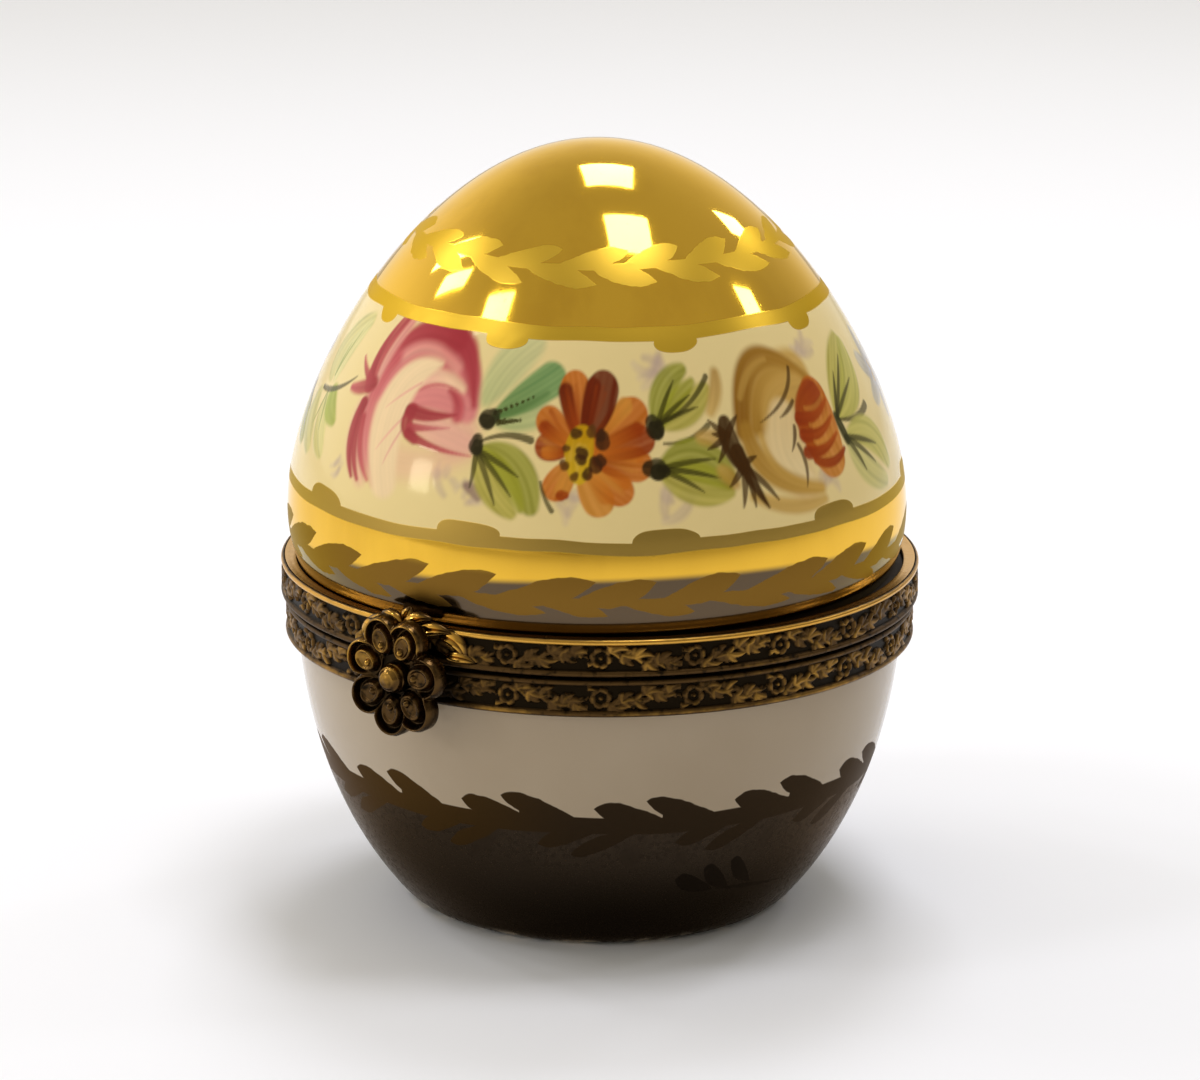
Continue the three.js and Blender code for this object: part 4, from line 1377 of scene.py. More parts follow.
# %% [markdown]
# ## Leaves between the flowers
# Four groups of green leaves fill the gaps. Each is painted blade by blade and has its own function, since
# no two groups are alike. Leaves at the ends of the garland are thinned with medium and look washed out.

# %% Leaf groups
WASHED_YELLOW = "#d3ca86"
WASHED_OLIVE = "#ccc274"
WASHED_VEIN = "#848f3a"
FRESH_GREEN = "#97a42a"
LEAF_STRAW = "#b3ac46"
LEAF_SAND = "#bfb656"
STALK = "#2f2f0a"


def pale_leaves(place):
    """Washed-out leaves at the left of the pink rose."""
    blade(place, (-14.2, -0.6), (-16.4, 2.4), (-11.8, 4.8), 3.4, LEAF_WASHED)
    blade(place, (-13.2, -0.4), (-13.4, 2.4), (-11.6, 4.6), 2.2, WASHED_YELLOW)
    veins(place, (-13.6, -0.2), ((-13.4, 2.6), (-12.4, 3.8)), 0.3, WASHED_VEIN)
    blade(place, (-15.6, -2.0), (-16.6, -4.0), (-13.8, -6.6), 3.0, LEAF_WASHED)
    blade(place, (-12.6, -1.4), (-13.2, -4.4), (-10.8, -6.4), 2.6, WASHED_OLIVE)
    brush(place, (-12.3, -1.4), (-11.9, -2.9), (-10.2, -3.5), (1.4, 2.8, 1.0), FRESH_GREEN, None, 0.9, 0.5)
    veins(place, (-13.6, -1.6), ((-14.4, -4.6), (-12.4, -4.8)), 0.3, WASHED_VEIN)
    line(place, (-15.2, -1.6), (-11.8, -1.6), (-9.0, 0.6), 0.55, LEAF_DARK)


def leaves_by_daisy(place):
    """The leaf under the teal pair, at the left of the daisy."""
    blade(place, (-0.4, -0.5), (0.6, -3.4), (3.0, -5.2), 2.4, LEAF_PALE)
    blade(place, (-0.2, -0.3), (3.6, -0.4), (4.6, -4.6), 3.2, LEAF_GREEN)
    blade(place, (0.2, -0.4), (2.6, -1.6), (3.8, -4.8), 1.6, LEAF_MIDDLE)
    veins(place, (-0.6, -0.3), ((-0.7, -3.4), (1.6, -4.6), (2.9, -3.8), (3.4, -2.2)), 0.55)
    tendril(place, (-0.3, 0.4), (1.8, 1.5), (4.2, 0.8))
    knot(place, (-0.7, 0.0), 1.4)


def leaves_after_daisy(place):
    blade(place, (-0.6, 2.4), (-0.4, 5.6), (2.4, 6.6), 2.4, LEAF_GREEN)
    blade(place, (-0.3, 2.4), (2.4, 3.0), (4.4, 5.0), 2.6, LEAF_PALE)
    blade(place, (-0.4, 2.4), (1.0, 4.2), (3.2, 5.6), 1.6, LEAF_MIDDLE)
    veins(place, (-0.6, 2.4), ((1.4, 5.8), (2.8, 4.6), (3.4, 3.6)), 0.5)
    tendril(place, (0.0, 2.6), (2.8, 3.6), (4.8, 5.9), 0.4)
    tendril(place, (-0.1, 0.9), (2.2, 0.7), (4.1, 2.1), 0.4)
    blade(place, (-0.5, -1.4), (2.0, -3.6), (5.2, -3.4), 2.6, LEAF_PALE)
    blade(place, (-0.5, -0.9), (2.8, 1.2), (5.4, -2.0), 3.0, LEAF_GREEN)
    blade(place, (-0.3, -1.2), (2.6, -1.0), (5.2, -2.8), 1.8, LEAF_MIDDLE)
    veins(place, (-0.7, -1.1), ((4.3, -0.6), (4.6, -2.2), (3.0, -3.2)), 0.55)
    knot(place, (-0.8, 2.1), 1.7)
    knot(place, (-0.9, -1.1), 1.8)


def leaves_after_bud(place):
    blade(place, (-2.9, 0.5), (-1.0, 4.0), (3.1, 6.0), 2.8, LEAF_PALE)
    blade(place, (-2.7, 0.4), (2.0, 1.4), (3.6, 5.4), 3.2, LEAF_STRAW)
    veins(place, (-3.0, 0.4), ((1.6, 4.8), (-0.8, 3.8), (1.8, 2.8)), 0.5)
    tendril(place, (-3.0, 0.2), (0.4, -0.7), (2.8, 0.3), 0.6)
    blade(place, (-2.5, -1.8), (-1.0, -5.0), (2.4, -6.2), 3.0, LEAF_WASHED)
    blade(place, (-2.4, -1.4), (2.2, -0.8), (3.8, -4.8), 3.4, LEAF_SAND)
    veins(place, (-2.7, -1.4), ((2.2, -3.0), (1.2, -4.4), (-0.8, -4.6)), 0.6)
    brush(place, (-3.2, 0.6), (-2.9, -0.5), (-2.6, -1.7), (0.6, 1.2, 0.8), STALK)


# %% [markdown]
# ## The garland of flowers
# The set of flowers goes half way round and is painted twice. Places are the turn from the clasp in degrees
# and the height in millimetres, as the photograph shows them. Lilac blossoms come first. Leaves and flowers
# follow from left to right, each over what is there already.

# %% Paint the garland
BLUE_GREY = ("#868796", "#b6b0a2")
POLLEN = "#b58f2c"
# Turn, height and size of the lilac blossoms in one half of the garland.
LILACS = [
    (46.6, 54.3, 1.9),
    (29.1, 43.2, 1.8),
    (49.0, 43.2, 2.1),
    (83.0, 43.6, 1.7),
    (-23.3, 43.6, 1.2),
    (88.5, 54.2, 1.7),
    (5.5, 44.6, 1.6),
]


def blue_blossom(place):
    for angle in range(30, 390, 60):
        end = polar(angle, 3.4)
        brush(place, (0, 0), halfway((0, 0), end, 0.12), end, (0.6, 2.8, 1.5), *BLUE_GREY, 0.85, 0.5)
    for _ in range(5):
        dot(place, polar(bristles.uniform(0, 360), 0.6), 0.7, POLLEN)


def paint_set(turn):
    """One half of the garland. Turn is where the set starts."""

    def at(place_turn, height):
        return (place_turn + turn, height)

    for place_turn, height, size in LILACS:
        lilac(at(place_turn, height), size)
    lilac(at(10.9, 44.0), 1.4, True)
    pale_leaves(at(-5.9, 50.3))
    pink_rose(at(-5.9, 50.3))
    teal_leaves(at(16.8, 51.2))
    leaves_by_daisy(at(12.1, 47.7))
    orange_daisy(at(31.2, 47.6))
    tendril(at(26.0, 43.8), (-0.9, 1.4), (-0.6, 0.2), (0.2, -0.9), 0.35)
    leaves_after_daisy(at(48.0, 47.4))
    beige_rose(at(70.8, 49.2))
    orange_bud(at(84.4, 47.8))
    leaves_after_bud(at(97.5, 47.8))
    blue_blossom(at(119.0, 49.6))
    last_leaf = at(128, 47.6)
    blade(last_leaf, (0, 0), (1.0, -2.2), (3.4, -3.8), 2.6, LEAF_GREEN)
    veins(last_leaf, (0, 0), ((2.6, -3.2), (2.8, -1.6)))
    knot(last_leaf, (0, 0))


for half_turn in (0, 180):
    paint_set(half_turn)
print("painted share of the band:", round(float((canvas_body > 0.3).mean()), 2))

# %% [markdown]
# ## The painted band as a piece
# The grid is laid round the dome, a hair above the glaze, and the paint gets its own slight thickness. The
# ring is split into a front and a back half to keep each mesh light.

# %% Painted band
PAINT_LIFT = 0.015 * MM
PAINT_BODY = 0.025 * MM


def band_points(columns):
    heights = canvas_height[:, None] * MM
    turn = np.radians(canvas_turn[columns % BAND_COLUMNS])[None, :]
    fade = np.clip(np.minimum(canvas_height - BAND_LOW, BAND_HIGH - canvas_height), 0, 1)[:, None]
    lift = (PAINT_LIFT + PAINT_BODY * canvas_body[:, columns % BAND_COLUMNS]) * fade
    radius = egg_radius(LID_EGG, heights) + lift
    points = [radius * np.sin(turn), -radius * np.cos(turn), heights + 0 * turn]
    return np.stack(points, -1) + np.array(LID_SHIFT)


def strip_object(name, points):
    """Open grid mesh from points[row, column]."""
    rows, columns = points.shape[:2]
    index = np.arange(rows * columns).reshape(rows, columns)
    quads = np.stack([index[:-1, :-1], index[:-1, 1:], index[1:, 1:], index[1:, :-1]], -1)
    return mesh_object(name, points.reshape(-1, 3), quads.reshape(-1, 4))[0]


for name, first in (("flowers_front", BAND_COLUMNS // 4), ("flowers_back", 3 * BAND_COLUMNS // 4)):
    columns = np.arange(first, first + BAND_COLUMNS // 2 + 1)
    band = strip_object(name, band_points(columns))
    colours = canvas_colour[:, columns % BAND_COLUMNS]
    store_attribute(band.data, "enamel", "FLOAT_COLOR", np.dstack([colours, np.ones(colours.shape[:2])]))
    store_attribute(band.data, "painted", "FLOAT", np.ones(colours.shape[:2]))
    finish_piece(band, "lid", gilded_glaze, "gilded_porcelain")

# %% [markdown]
# ## Aged brass
# Antique brass is dipped dark and then rubbed, so the hollows keep a brown patina and the high points shine.
# The meshes below carry how far each point stands out in an attribute called relief. On the clasp it also
# holds painted light from above and painted shade below, and on the base rim a painted shadow beside the
# clasp. This group turns such a height into a wear mask and breaks it up with grain. It is used by every
# brass finish. Plain parts have no relief, so soft noise stands in for it.


# %% Brass finishes
def make_brass_wear():
    sockets = {"Relief": 0.5, "Start": 0.2, "End": 1.0}
    group, at, result = new_group("brass_wear", sockets, ["Wear", "Tarnish"])
    grain = calc(group, "MULTIPLY_ADD", noise(group, scale=900.0, detail=3.0), 0.7, -0.35)
    cloud = calc(group, "MULTIPLY_ADD", noise(group, scale=130.0, detail=2.0), 0.8, -0.4)
    height = calc(group, "ADD", calc(group, "ADD", at["Relief"], grain), cloud)
    tarnish = smooth_mask(group, noise(group, scale=1500.0, detail=2.0), 0.5, 0.75)
    feed(group, result, Wear=smooth_mask(group, height, at["Start"], at["End"]), Tarnish=tarnish)
    return group


brass_wear = make_brass_wear()
PATINA = (0.012, 0.008, 0.004, 1.0)
BROWN_BRASS = (0.085, 0.046, 0.015, 1.0)
RUBBED_BRASS = (0.64, 0.345, 0.058, 1.0)
CLEAN_BRASS = (0.68, 0.50, 0.20, 1.0)


def make_brass(name, relief_source, high, start, end, smooth=0.24, rough=0.5):
    """Brass with patina. The relief comes from the mesh's attribute or from soft noise."""
    material, tree, shader = new_material(name)
    if relief_source == "attribute":
        relief = add_node(tree, "ShaderNodeAttribute", attribute_name="relief").outputs["Fac"]
    else:
        relief = noise(tree, scale=240.0, detail=2.0)
    wear, tarnish = grouped(tree, brass_wear, Relief=relief, Start=start, End=end)
    low = mixed(tree, tarnish, BROWN_BRASS, PATINA)
    hollow = mixed(tree, smooth_mask(tree, relief, 0.0, 0.5), PATINA, low)
    feed(tree, shader, Base_Color=mixed(tree, wear, hollow, high), Metallic=1.0)
    feed(tree, shader, Roughness=between(tree, wear, rough, smooth))
    pits = calc(tree, "ADD", noise(tree, scale=2200.0, detail=3.0), tarnish)
    feed(tree, shader, Normal=fine_bump(tree, pits, strength=0.25, depth=0.025 * MM))
    return material


embossed_brass = make_brass("embossed_brass", "attribute", RUBBED_BRASS, start=0.6, end=1.7)
cast_brass = make_brass(
    "cast_brass", "attribute", RUBBED_BRASS, start=0.66, end=1.45, smooth=0.13, rough=0.27
)
aged_brass = make_brass("aged_brass", "noise", RUBBED_BRASS, start=0.3, end=1.3)
bright_brass = make_brass("bright_brass", "noise", CLEAN_BRASS, start=-0.2, end=0.55, smooth=0.22, rough=0.36)
print("brass_wear has", len(brass_wear.nodes), "nodes")

# %% [markdown]
# ## Embossed rims
# The rims are brass strip that was rolled with a running pattern, bent round and soldered: a rosette, then
# a leafy scroll. A bump map would give only the shading, and the strip is seen edge on, so the relief is
# real. It is made of half-round ridges along bent lines, as a chisel cuts them into the roller.

# %% Rim pattern
RIDGE_STEPS = 16
chisel = np.random.default_rng(4)


def half_round(off):
    """Height of a half-round bump, 1 in its middle and 0 where the distance is 1 or more."""
    return np.sqrt(np.clip(1 - off**2, 0, 1))


def ridge(u, v, start, bend, end, widths, height):
    """Half-round ridge along a bent line on the strip, 0 beside it. Sizes are in mm."""
    path = curve(start, bend, end, RIDGE_STEPS)
    half = curve(widths[0:1], widths[1:2], widths[2:3], RIDGE_STEPS)[:, 0] / 2
    off = np.hypot(u[..., None] - path[:, 0], v[..., None] - path[:, 1]) / np.maximum(half, 0.02)
    return height * half_round(off.min(-1))


def rosette(middle):
    """Ridges of a small six-petalled flower."""
    marks = [(middle, middle, polar(0, 0.02, middle), (0.42, 0.42, 0.42), 0.9)]
    for angle in range(10, 370, 60):
        near, far = polar(angle - 14, 0.72, middle), polar(angle + 14, 0.76, middle)
        marks.append((near, halfway(near, far, -0.2), far, (0.5, 0.62, 0.5), chisel.uniform(0.65, 0.95)))
    return marks


def scroll(start, length):
    """Ridges of a bent stem with a fan of four pointed lobes at each node."""

    def stem(share):
        return (start + length * share, 0.55 * math.sin(math.pi * (1.4 * share - 0.45)))

    marks = []
    for a in np.arange(0, 1, 0.25):
        marks.append((stem(a), stem(a + 0.125), stem(a + 0.25), (0.3, 0.34, 0.3), 0.6))
    for k, share in enumerate(np.linspace(-0.02, 0.82, 6)):
        side = 1 if k % 2 else -1
        near = stem(share)
        for angle, reach, wide in ((4, 1.7, 0.9), (40, 1.35, 1.0), (85, 0.9, 0.85), (-35, 0.8, 0.7)):
            far = polar(side * (angle + chisel.uniform(-8, 8)), reach * chisel.uniform(0.9, 1.1), near)
            leaf = (near, halfway(near, far, side * 0.28), far, (0.25, wide * 1.25, 0.15))
            marks.append((*leaf, chisel.uniform(0.6, 1)))
    return marks


def strip_pattern(pitch, columns, rows, marks):
    """Relief from 0 to 1 on one repeat. Columns and rows are in mm."""
    u, v = np.meshgrid(columns, rows)
    relief = np.zeros_like(u)
    for start, bend, end, widths, height in marks:
        for shift in (-pitch, 0, pitch):
            relief = np.maximum(relief, ridge(u - shift, v, start, bend, end, widths, height))
    return relief


# %% [markdown]
# ## The face of a rim
# A grid of columns and rows is pushed out by the pattern, between two plain beads. Every second repeat is
# turned over, as the roller has two scrolls. The bead next to the porcelain is worn brightest, and the one
# at the seam stays dull.

# %% Rim face
RIM_REPEATS = 22
COLUMNS_PER_REPEAT = 70
RIM_ROWS = 50
BEAD = 0.3 * MM
FIELD_MARGIN = 0.5 * MM
FIELD_FADE = 0.1 * MM
LIP_BEAD_SHINE = 1.7
SEAM_BEAD_SHINE = 0.6


def rim_face(tall, outer):
    """Relief on the outside of a rim, rows from the porcelain's side to the seam, and the rows' places."""
    rows = np.linspace(0, tall, RIM_ROWS)
    pitch = 2 * math.pi * outer / RIM_REPEATS / MM
    columns = np.arange(COLUMNS_PER_REPEAT) * pitch / COLUMNS_PER_REPEAT
    marks = rosette((1.1, 0.0)) + scroll(2.1, pitch - 2.2)
    upright = strip_pattern(pitch, columns, (rows - tall / 2) / MM, marks)
    turned_over = strip_pattern(pitch, columns, -(rows - tall / 2) / MM, marks)
    pattern = np.tile(np.hstack([upright, turned_over]), (1, RIM_REPEATS // 2))
    inside = np.minimum(rows, tall - rows) - FIELD_MARGIN
    pattern = pattern * np.clip(inside / FIELD_FADE, 0, 1)[:, None]
    lip_bead, seam_bead = (half_round((rows - at) / BEAD) for at in (BEAD, tall - BEAD))
    height = np.maximum(pattern, np.maximum(lip_bead, seam_bead)[:, None])
    worn = np.maximum(LIP_BEAD_SHINE * lip_bead, SEAM_BEAD_SHINE * seam_bead)
    shine = np.maximum(pattern, worn[:, None])
    return rows, height, shine


# %% [markdown]
# ## The rims as pieces
# The face is bent to a ring. Its edge next to the porcelain is folded over and rubbed bright, and the other
# edge meets its fellow at the seam. A painted shadow of the clasp darkens the base rim beside it.

# %% Rim pieces
FIELD_DEPTH = 0.36 * MM
SEAM_INSET = 1.0 * MM
SEAM_SHINE = 0.2
RIM_SHARP_EDGE = math.radians(70)
# The folded edge next to the porcelain: how far in, how far down, and how worn it is.
LIP = [(0.26, 0.0, 1.9), (0.5, 0.0, 1.9), (0.7, 0.06, 1.7), (1.0, 0.08, 1.7), (1.3, 0.06, 1.8)]
LIP += [(1.41, 0.12, 1.2), (1.45, 0.4, 0.3), (1.0, 0.7, 0.1)]
# Painted shadow of the clasp on the base rim: how far round from the clasp it reaches.
CLASP_SHADOW_TURN = math.radians(13)


def rim_piece(name, body, node, lip_up, lip_reach, brightness, clasp_shadow):
    low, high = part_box(node)
    outer = high.x
    tall = high.z - low.z
    rows, height, shine = rim_face(tall, outer)
    ring = np.ones((1, height.shape[1]))
    inset, drop, worn = np.array(LIP).T[:, :, None]
    inset = np.minimum(inset, lip_reach)
    face = (outer - FIELD_DEPTH + FIELD_DEPTH * height)[::-1]
    radius = np.vstack([(outer - SEAM_INSET) * ring, face, (outer - inset * MM) * ring])
    depth = np.concatenate([[tall], rows[::-1], drop[:, 0] * MM])
    shine[rows < 2 * BEAD] *= brightness
    relief = np.vstack([SEAM_SHINE * ring, shine[::-1], worn * brightness * ring])
    z = high.z - depth if lip_up else low.z + depth
    turn = np.linspace(0, 2 * math.pi, ring.size, endpoint=False)
    points = np.stack([radius * np.sin(turn), -radius * np.cos(turn), z[:, None] + 0 * radius], -1)
    from_clasp = np.minimum(turn, 2 * math.pi - turn)
    # Painted shadow of the clasp: the relief is lowered on both sides of it, which darkens the brass there.
    relief = relief * (1 - clasp_shadow * np.exp(-((from_clasp / CLASP_SHADOW_TURN) ** 4)))
    if not lip_up:
        points, relief = points[::-1], relief[::-1]
    rim = grid_object(name, [points], close_rows=True, relief=[relief])
    rim.data.set_sharp_from_angle(angle=RIM_SHARP_EDGE)
    finish_piece(rim, body, embossed_brass, "aged_brass", node)


rim_piece("lid_embossed_rim", "lid", "lid_rim", True, 1.45, brightness=1.0, clasp_shadow=0.0)
rim_piece("base_embossed_rim", "base", "base_rim", False, 1.04, brightness=0.5, clasp_shadow=0.9)

# %% [markdown]
# ## Petals of the clasp
# The cast flower has seven petals that are not quite alike. Each has a thin raised rim, a groove, and a shell
# with a ball at its foot. Sculpting would do as well, but sums of rings and domes keep the petals even and
# crisp.

# %% Petal shapes
# Each petal by its angle, the distance of its middle from the boss, and its radius in mm.
CAST_PETALS = [
    (-94, 3.25, 1.80),
    (-46, 3.35, 1.85),
    (8, 3.25, 1.85),
    (66, 3.40, 1.78),
    (112, 3.60, 1.70),
    (158, 3.40, 1.68),
    (214, 3.25, 1.75),
]
# The reach in mm to which the gaps between the petals go in.
FLOWER_CORE = 3.0


def flower_edge(angle):
    """Outline of the flower: the farthest petal circle in that direction."""
    reach = np.full_like(angle, FLOWER_CORE)
    for petal_angle, ring, radius in CAST_PETALS:
        off = angle - math.radians(petal_angle)
        room = radius**2 - (ring * np.sin(off)) ** 2
        far = ring * np.cos(off) + np.sqrt(np.clip(room, 0, None))
        reach = np.where((room > 0) & (np.cos(off) > 0), np.maximum(reach, far), reach)
    return reach


def soft_ring(distance, middle, width):
    """Height of a soft ridge, 1 at the middle distance."""
    return np.exp(-(((distance - middle) / width) ** 2))


def petal_height(x, y, angle, ring, radius):
    """How far out on a petal each point lies, 1 at its edge, and the petal's height there."""
    px, py = polar(angle, ring)
    out_x, out_y = polar(angle, 1 / radius)
    outward = (x - px) * out_x + (y - py) * out_y
    aside = (y - py) * out_x - (x - px) * out_y
    d = np.hypot(outward, aside)
    # The thin raised rim runs out towards the boss.
    rim = 0.62 * soft_ring(d, 0.86, 0.13) * np.clip(1.2 * outward + 0.8, 0, 1)
    # The shell is an oval with a raised edge, and the ball sits at its foot.
    e = np.hypot((outward + 0.2) / 0.78, aside / 0.6)
    shell = 0.42 * half_round(e) + 0.22 * soft_ring(e, 0.72, 0.15) + 0.06 * (e < 1)
    ball = 0.8 * half_round(np.hypot(outward + 0.45, aside) / 0.25)
    return d, 0.2 + np.maximum(rim, np.maximum(shell, ball))


def flower_height(x, y):
    """Height from 0 to 1 over the flower's plate. Every second petal lies a little over its neighbours."""
    nearest = np.full_like(x, 1.0)
    height = np.full_like(x, 0.04)
    for k, petal in enumerate(CAST_PETALS):
        d, raised = petal_height(x, y, *petal)
        d = d * (0.94 if k % 2 else 1.0)
        height = np.where(d < nearest, raised * (1.0 if k % 2 else 0.9), height)
        nearest = np.minimum(nearest, d)
    return height


# %% [markdown]
# ## The flower of the clasp
# A polar grid follows the scalloped outline, and the height of each point builds the petals on a thin plate.
# The lower petals are painted darker and the upper ones brighter, as painted shade below and painted light
# from above. The size and the place come from the solid model.

# %% Clasp flower
FLOWER_STRETCH = 1.06
FLOWER_STEPS = 80
FLOWER_COLUMNS = 336
FLOWER_PLATE = 0.5
# The share of the flower's reach that the boss covers.
BOSS_SHARE = 0.12
# Painted light from above and painted shade below: how bright the flower is, by the height in mm
# from its middle.
LIGHT_FROM_ABOVE = [(-6, 0.5), (-2, 0.62), (2, 1.1), (6, 1.45)]
# The edge of the plate behind the petals: its level as a share of the plate, and its reach.
PLATE_EDGE = [(0.7, 1.0), (0.25, 1.0), (0.0, 0.97)]
PLATE_SHINE = 0.25


def smooth_steps(x, knots):
    """Smooth curve through the knots, flat at each of them."""
    places, values = np.array(knots, float).T
    k = np.clip(np.searchsorted(places, x) - 1, 0, len(places) - 2)
    t = np.clip((x - places[k]) / (places[k + 1] - places[k]), 0, 1)
    return values[k] + (values[k + 1] - values[k]) * t * t * (3 - 2 * t)


flower_low, flower_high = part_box("clasp_flower")
boss_low, boss_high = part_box("clasp_rivet")
flower_middle = (boss_low.z + boss_high.z) / 2 / MM
flower_back = -flower_high.y / MM
flower_tall = (flower_high.y - flower_low.y) / MM


def make_flower():
    angle = np.linspace(0, 2 * math.pi, FLOWER_COLUMNS, endpoint=False)
    share = np.linspace(BOSS_SHARE, 1, FLOWER_STEPS)[:, None]
    reach = share * flower_edge(angle)
    x, y = reach * np.cos(angle), reach * np.sin(angle)
    raised = flower_height(x, y)
    y = y * FLOWER_STRETCH
    # Painted light and shade: the flower is brighter towards its top and darker towards its bottom.
    brightness = smooth_steps(y, LIGHT_FROM_ABOVE)
    layers = [np.stack([x, y, FLOWER_PLATE + (flower_tall - FLOWER_PLATE) * raised], -1)]
    shine = [raised * brightness]
    for level, inset in PLATE_EDGE:
        layers.append(np.stack([x[-1] * inset, y[-1] * inset, level * FLOWER_PLATE + 0 * angle], -1)[None])
        shine.append(np.full((1, FLOWER_COLUMNS), PLATE_SHINE))
    layers.append(np.stack([x[0], y[0], 0 * angle], -1)[None])
    shine.append(np.zeros((1, FLOWER_COLUMNS)))
    local = np.concatenate(layers)
    points = [local[..., 0], -(flower_back + local[..., 2]), flower_middle + local[..., 1]]
    points = np.stack(points, -1)[:, ::-1] * MM
    relief = np.concatenate(shine)[:, ::-1]
    flower = grid_object("cast_flower", [points], close_rows=True, relief=[relief])
    finish_piece(flower, "lid", cast_brass, "aged_brass", "clasp_flower")


make_flower()

# %% [markdown]
# ## The boss of the clasp
# A domed rivet head holds the flower to its tongue. It is a turned piece, so the grid of a profile gives it,
# laid on its side.

# %% Boss
# Dome of the boss: its height at each share of its radius.
BOSS_PROFILE = [(0.0, 1.0), (0.45, 0.93), (0.75, 0.72), (0.92, 0.45), (1.0, 0.2)]
BOSS_STEPS = 40
BOSS_COLUMNS = 48
SHANK_RADIUS = 0.5 * MM


def make_boss():
    radius = (boss_high.x - boss_low.x) / 2
    face = flower_high.y - FLOWER_PLATE * MM
    tall = face - boss_low.y
    shank_end = face - boss_high.y
    s = np.linspace(0, 1, BOSS_STEPS)
    dome = np.column_stack([s * radius, smooth_steps(s, BOSS_PROFILE) * tall])
    foot = [[radius, 0], [SHANK_RADIUS, 0], [SHANK_RADIUS, shank_end], [0, shank_end]]
    profile = np.vstack([dome, foot])[::-1]
    local = turned(profile, BOSS_COLUMNS)
    points = np.stack([local[..., 0], face - local[..., 2], local[..., 1] + flower_middle * MM], -1)
    # Painted light from above: the relief rises towards the top of the boss, so its top is brighter.
    relief = 0.9 * np.clip(local[..., 2] / tall, 0.1, 1) + 0.3 * local[..., 1] / radius
    boss = grid_object("clasp_boss", [points[:, ::-1]], relief=[relief])
    finish_piece(boss, "lid", cast_brass, "bright_brass", "clasp_rivet")


make_boss()

# %% [markdown]
# ## The crest of the clasp
# A strap hooks over the edge of the rim, and cast leaves hide it, so the clasp seems to grow out of the
# strip. Each leaf is a line with a domed section that swells and runs out to a point, bent round the rim.
# Strap and leaves are one casting, so they are one piece.

# %% Crest
# Section of the strap as radius and height in mm, and the width of the strap.
STRAP = [(29.12, 29.1), (30.15, 29.1), (30.19, 31.2), (29.95, 31.9), (29.4, 32.3), (28.6, 32.35)]
STRAP += [(28.2, 32.15), (28.25, 31.97), (29.12, 31.97)]
STRAP_WIDE = 4.4
# Each leaf by start, bend and end along the rim and upwards, then its width, thickness and inner radius.
CREST_LEAVES = [
    ((0.0, 31.4), (0.8, 33.0), (2.9, 32.8), 1.4, 0.75, 29.60),
    ((-0.1, 31.4), (-0.9, 32.9), (-2.7, 32.5), 1.3, 0.75, 29.60),
    ((0.9, 31.2), (2.6, 32.3), (4.6, 31.8), 1.4, 0.65, 29.50),
    ((-0.9, 31.2), (-2.4, 32.2), (-4.4, 31.6), 1.3, 0.65, 29.50),
    ((0.0, 32.2), (0.4, 33.0), (0.6, 33.6), 1.3, 0.70, 29.50),
    ((3.0, 31.2), (5.2, 31.5), (5.6, 29.4), 1.6, 0.6, 28.95),
    ((3.6, 29.4), (5.2, 29.8), (6.6, 29.2), 1.1, 0.5, 28.95),
    ((-3.0, 30.9), (-4.9, 31.3), (-5.6, 29.6), 1.5, 0.6, 28.95),
]
CREST_STEPS = 21
CREST_CORNERS = 20


def on_rim(along, up, radius):
    """Point from mm along the rim from the clasp, mm up, and mm from the axis."""
    turn = along / radius
    return np.stack([radius * np.sin(turn), -radius * np.cos(turn), up + 0 * turn], -1) * MM


def strap_grid():
    section = np.array(STRAP)
    middle = section.mean(0)
    rows = []
    for along, size in ((-0.5, 0.0), (-0.5, 0.9), (-0.46, 1.0), (0.46, 1.0), (0.5, 0.9), (0.5, 0.0)):
        part = middle + (section - middle) * size
        rows.append(on_rim(along * STRAP_WIDE + 0 * part[:, 0], part[:, 1], part[:, 0]))
    return np.array(rows), np.full((len(rows), len(section)), 0.4)


def leaf_grid(start, bend, end, width, thick, inner):
    path = curve(start, bend, end, CREST_STEPS)
    ahead = np.gradient(path, axis=0)
    ahead /= np.linalg.norm(ahead, axis=1, keepdims=True)
    swell = np.sin(math.pi * np.linspace(0, 1, CREST_STEPS) ** 0.8)[:, None] ** 0.7
    swell[[0, -1]] = 0
    angle = np.linspace(0, 2 * math.pi, CREST_CORNERS, endpoint=False)
    groove = 1 - 0.45 * np.exp(-((np.cos(angle) / 0.22) ** 2))
    lift = np.where(np.sin(angle) > 0, np.sin(angle) * groove, 0.2 * np.sin(angle)) * swell
    across = np.cos(angle) * swell * width / 2
    along = path[:, :1] - ahead[:, 1:] * across
    up = path[:, 1:] + ahead[:, :1] * across
    return on_rim(along, up, inner + thick * lift), np.clip(0.4 + 1.3 * lift, 0, 1.7)


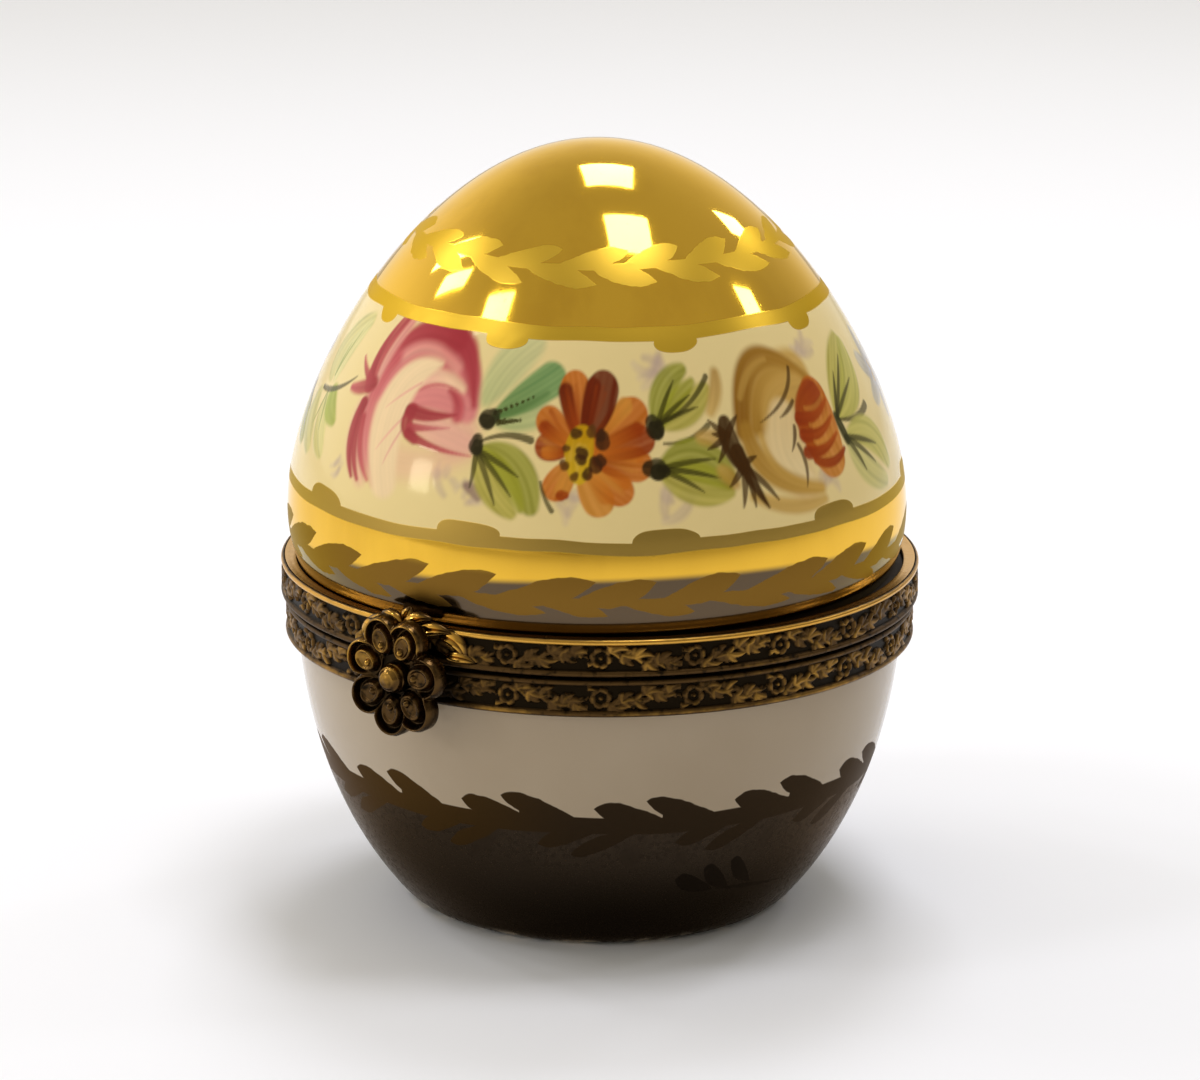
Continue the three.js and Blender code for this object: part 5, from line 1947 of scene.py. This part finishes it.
def make_crest():
    grids, relief = zip(strap_grid(), *(leaf_grid(*shape) for shape in CREST_LEAVES))
    crest = grid_object("clasp_crest", grids, relief=relief)
    crest.data.set_sharp_from_angle(angle=SHARP_EDGE)
    finish_piece(crest, "lid", cast_brass, "aged_brass", "clasp_bracket")


make_crest()

# %% [markdown]
# ## Hinge, liners and small brass parts
# The hinge tubes, the pin, the liners and the catch have the right shape in the solid model. They stay, and
# get rounded edges from a Bevel modifier and a brass finish. A Weld modifier first joins the split edges.
# The cement between porcelain and brass is a gritty grey brown.

# %% Small parts
AGED_PARTS = ["hinge_pin", "base_hinge_leaf", "lid_hinge_leaf"]
AGED_PARTS += [n for n in nodes if "knuckle" in n]
BRIGHT_PARTS = ["base_liner", "lid_liner", "clasp_tongue", "catch_stud"]
EDGE_ROUNDING = 0.07 * MM
EDGE_ANGLE = math.radians(40)
WELD_REACH = 0.001 * MM
CEMENT_DARK = linear("#2a231b")
CEMENT_PALE = linear("#5d5142")
CEMENT_ROUGH = (0.7, 0.95)


def make_cement():
    material, tree, shader = new_material("setting_cement")
    grit = noise(tree, scale=1400.0, detail=4.0)
    feed(tree, shader, Base_Color=mixed(tree, grit, CEMENT_DARK, CEMENT_PALE))
    feed(tree, shader, Roughness=between(tree, grit, *CEMENT_ROUGH))
    feed(tree, shader, Normal=fine_bump(tree, grit, strength=0.5, depth=0.05 * MM))
    return material


def dress(node, material):
    piece = nodes[node]
    piece.data.materials.clear()
    piece.data.materials.append(material)
    piece.data.shade_smooth()
    weld = piece.modifiers.new("join split edges", "WELD")
    weld.merge_threshold = WELD_REACH
    bevel = piece.modifiers.new("rounded edges", "BEVEL")
    bevel.width = EDGE_ROUNDING
    bevel.segments = 2
    bevel.limit_method = "ANGLE"
    bevel.angle_limit = EDGE_ANGLE
    bevel.harden_normals = True


setting_cement = make_cement()
for node in AGED_PARTS:
    dress(node, aged_brass)
for node in BRIGHT_PARTS:
    dress(node, bright_brass)
for node in ("lid_cement", "base_cement"):
    dress(node, setting_cement)
print(len(AGED_PARTS) + len(BRIGHT_PARTS), "brass parts dressed")
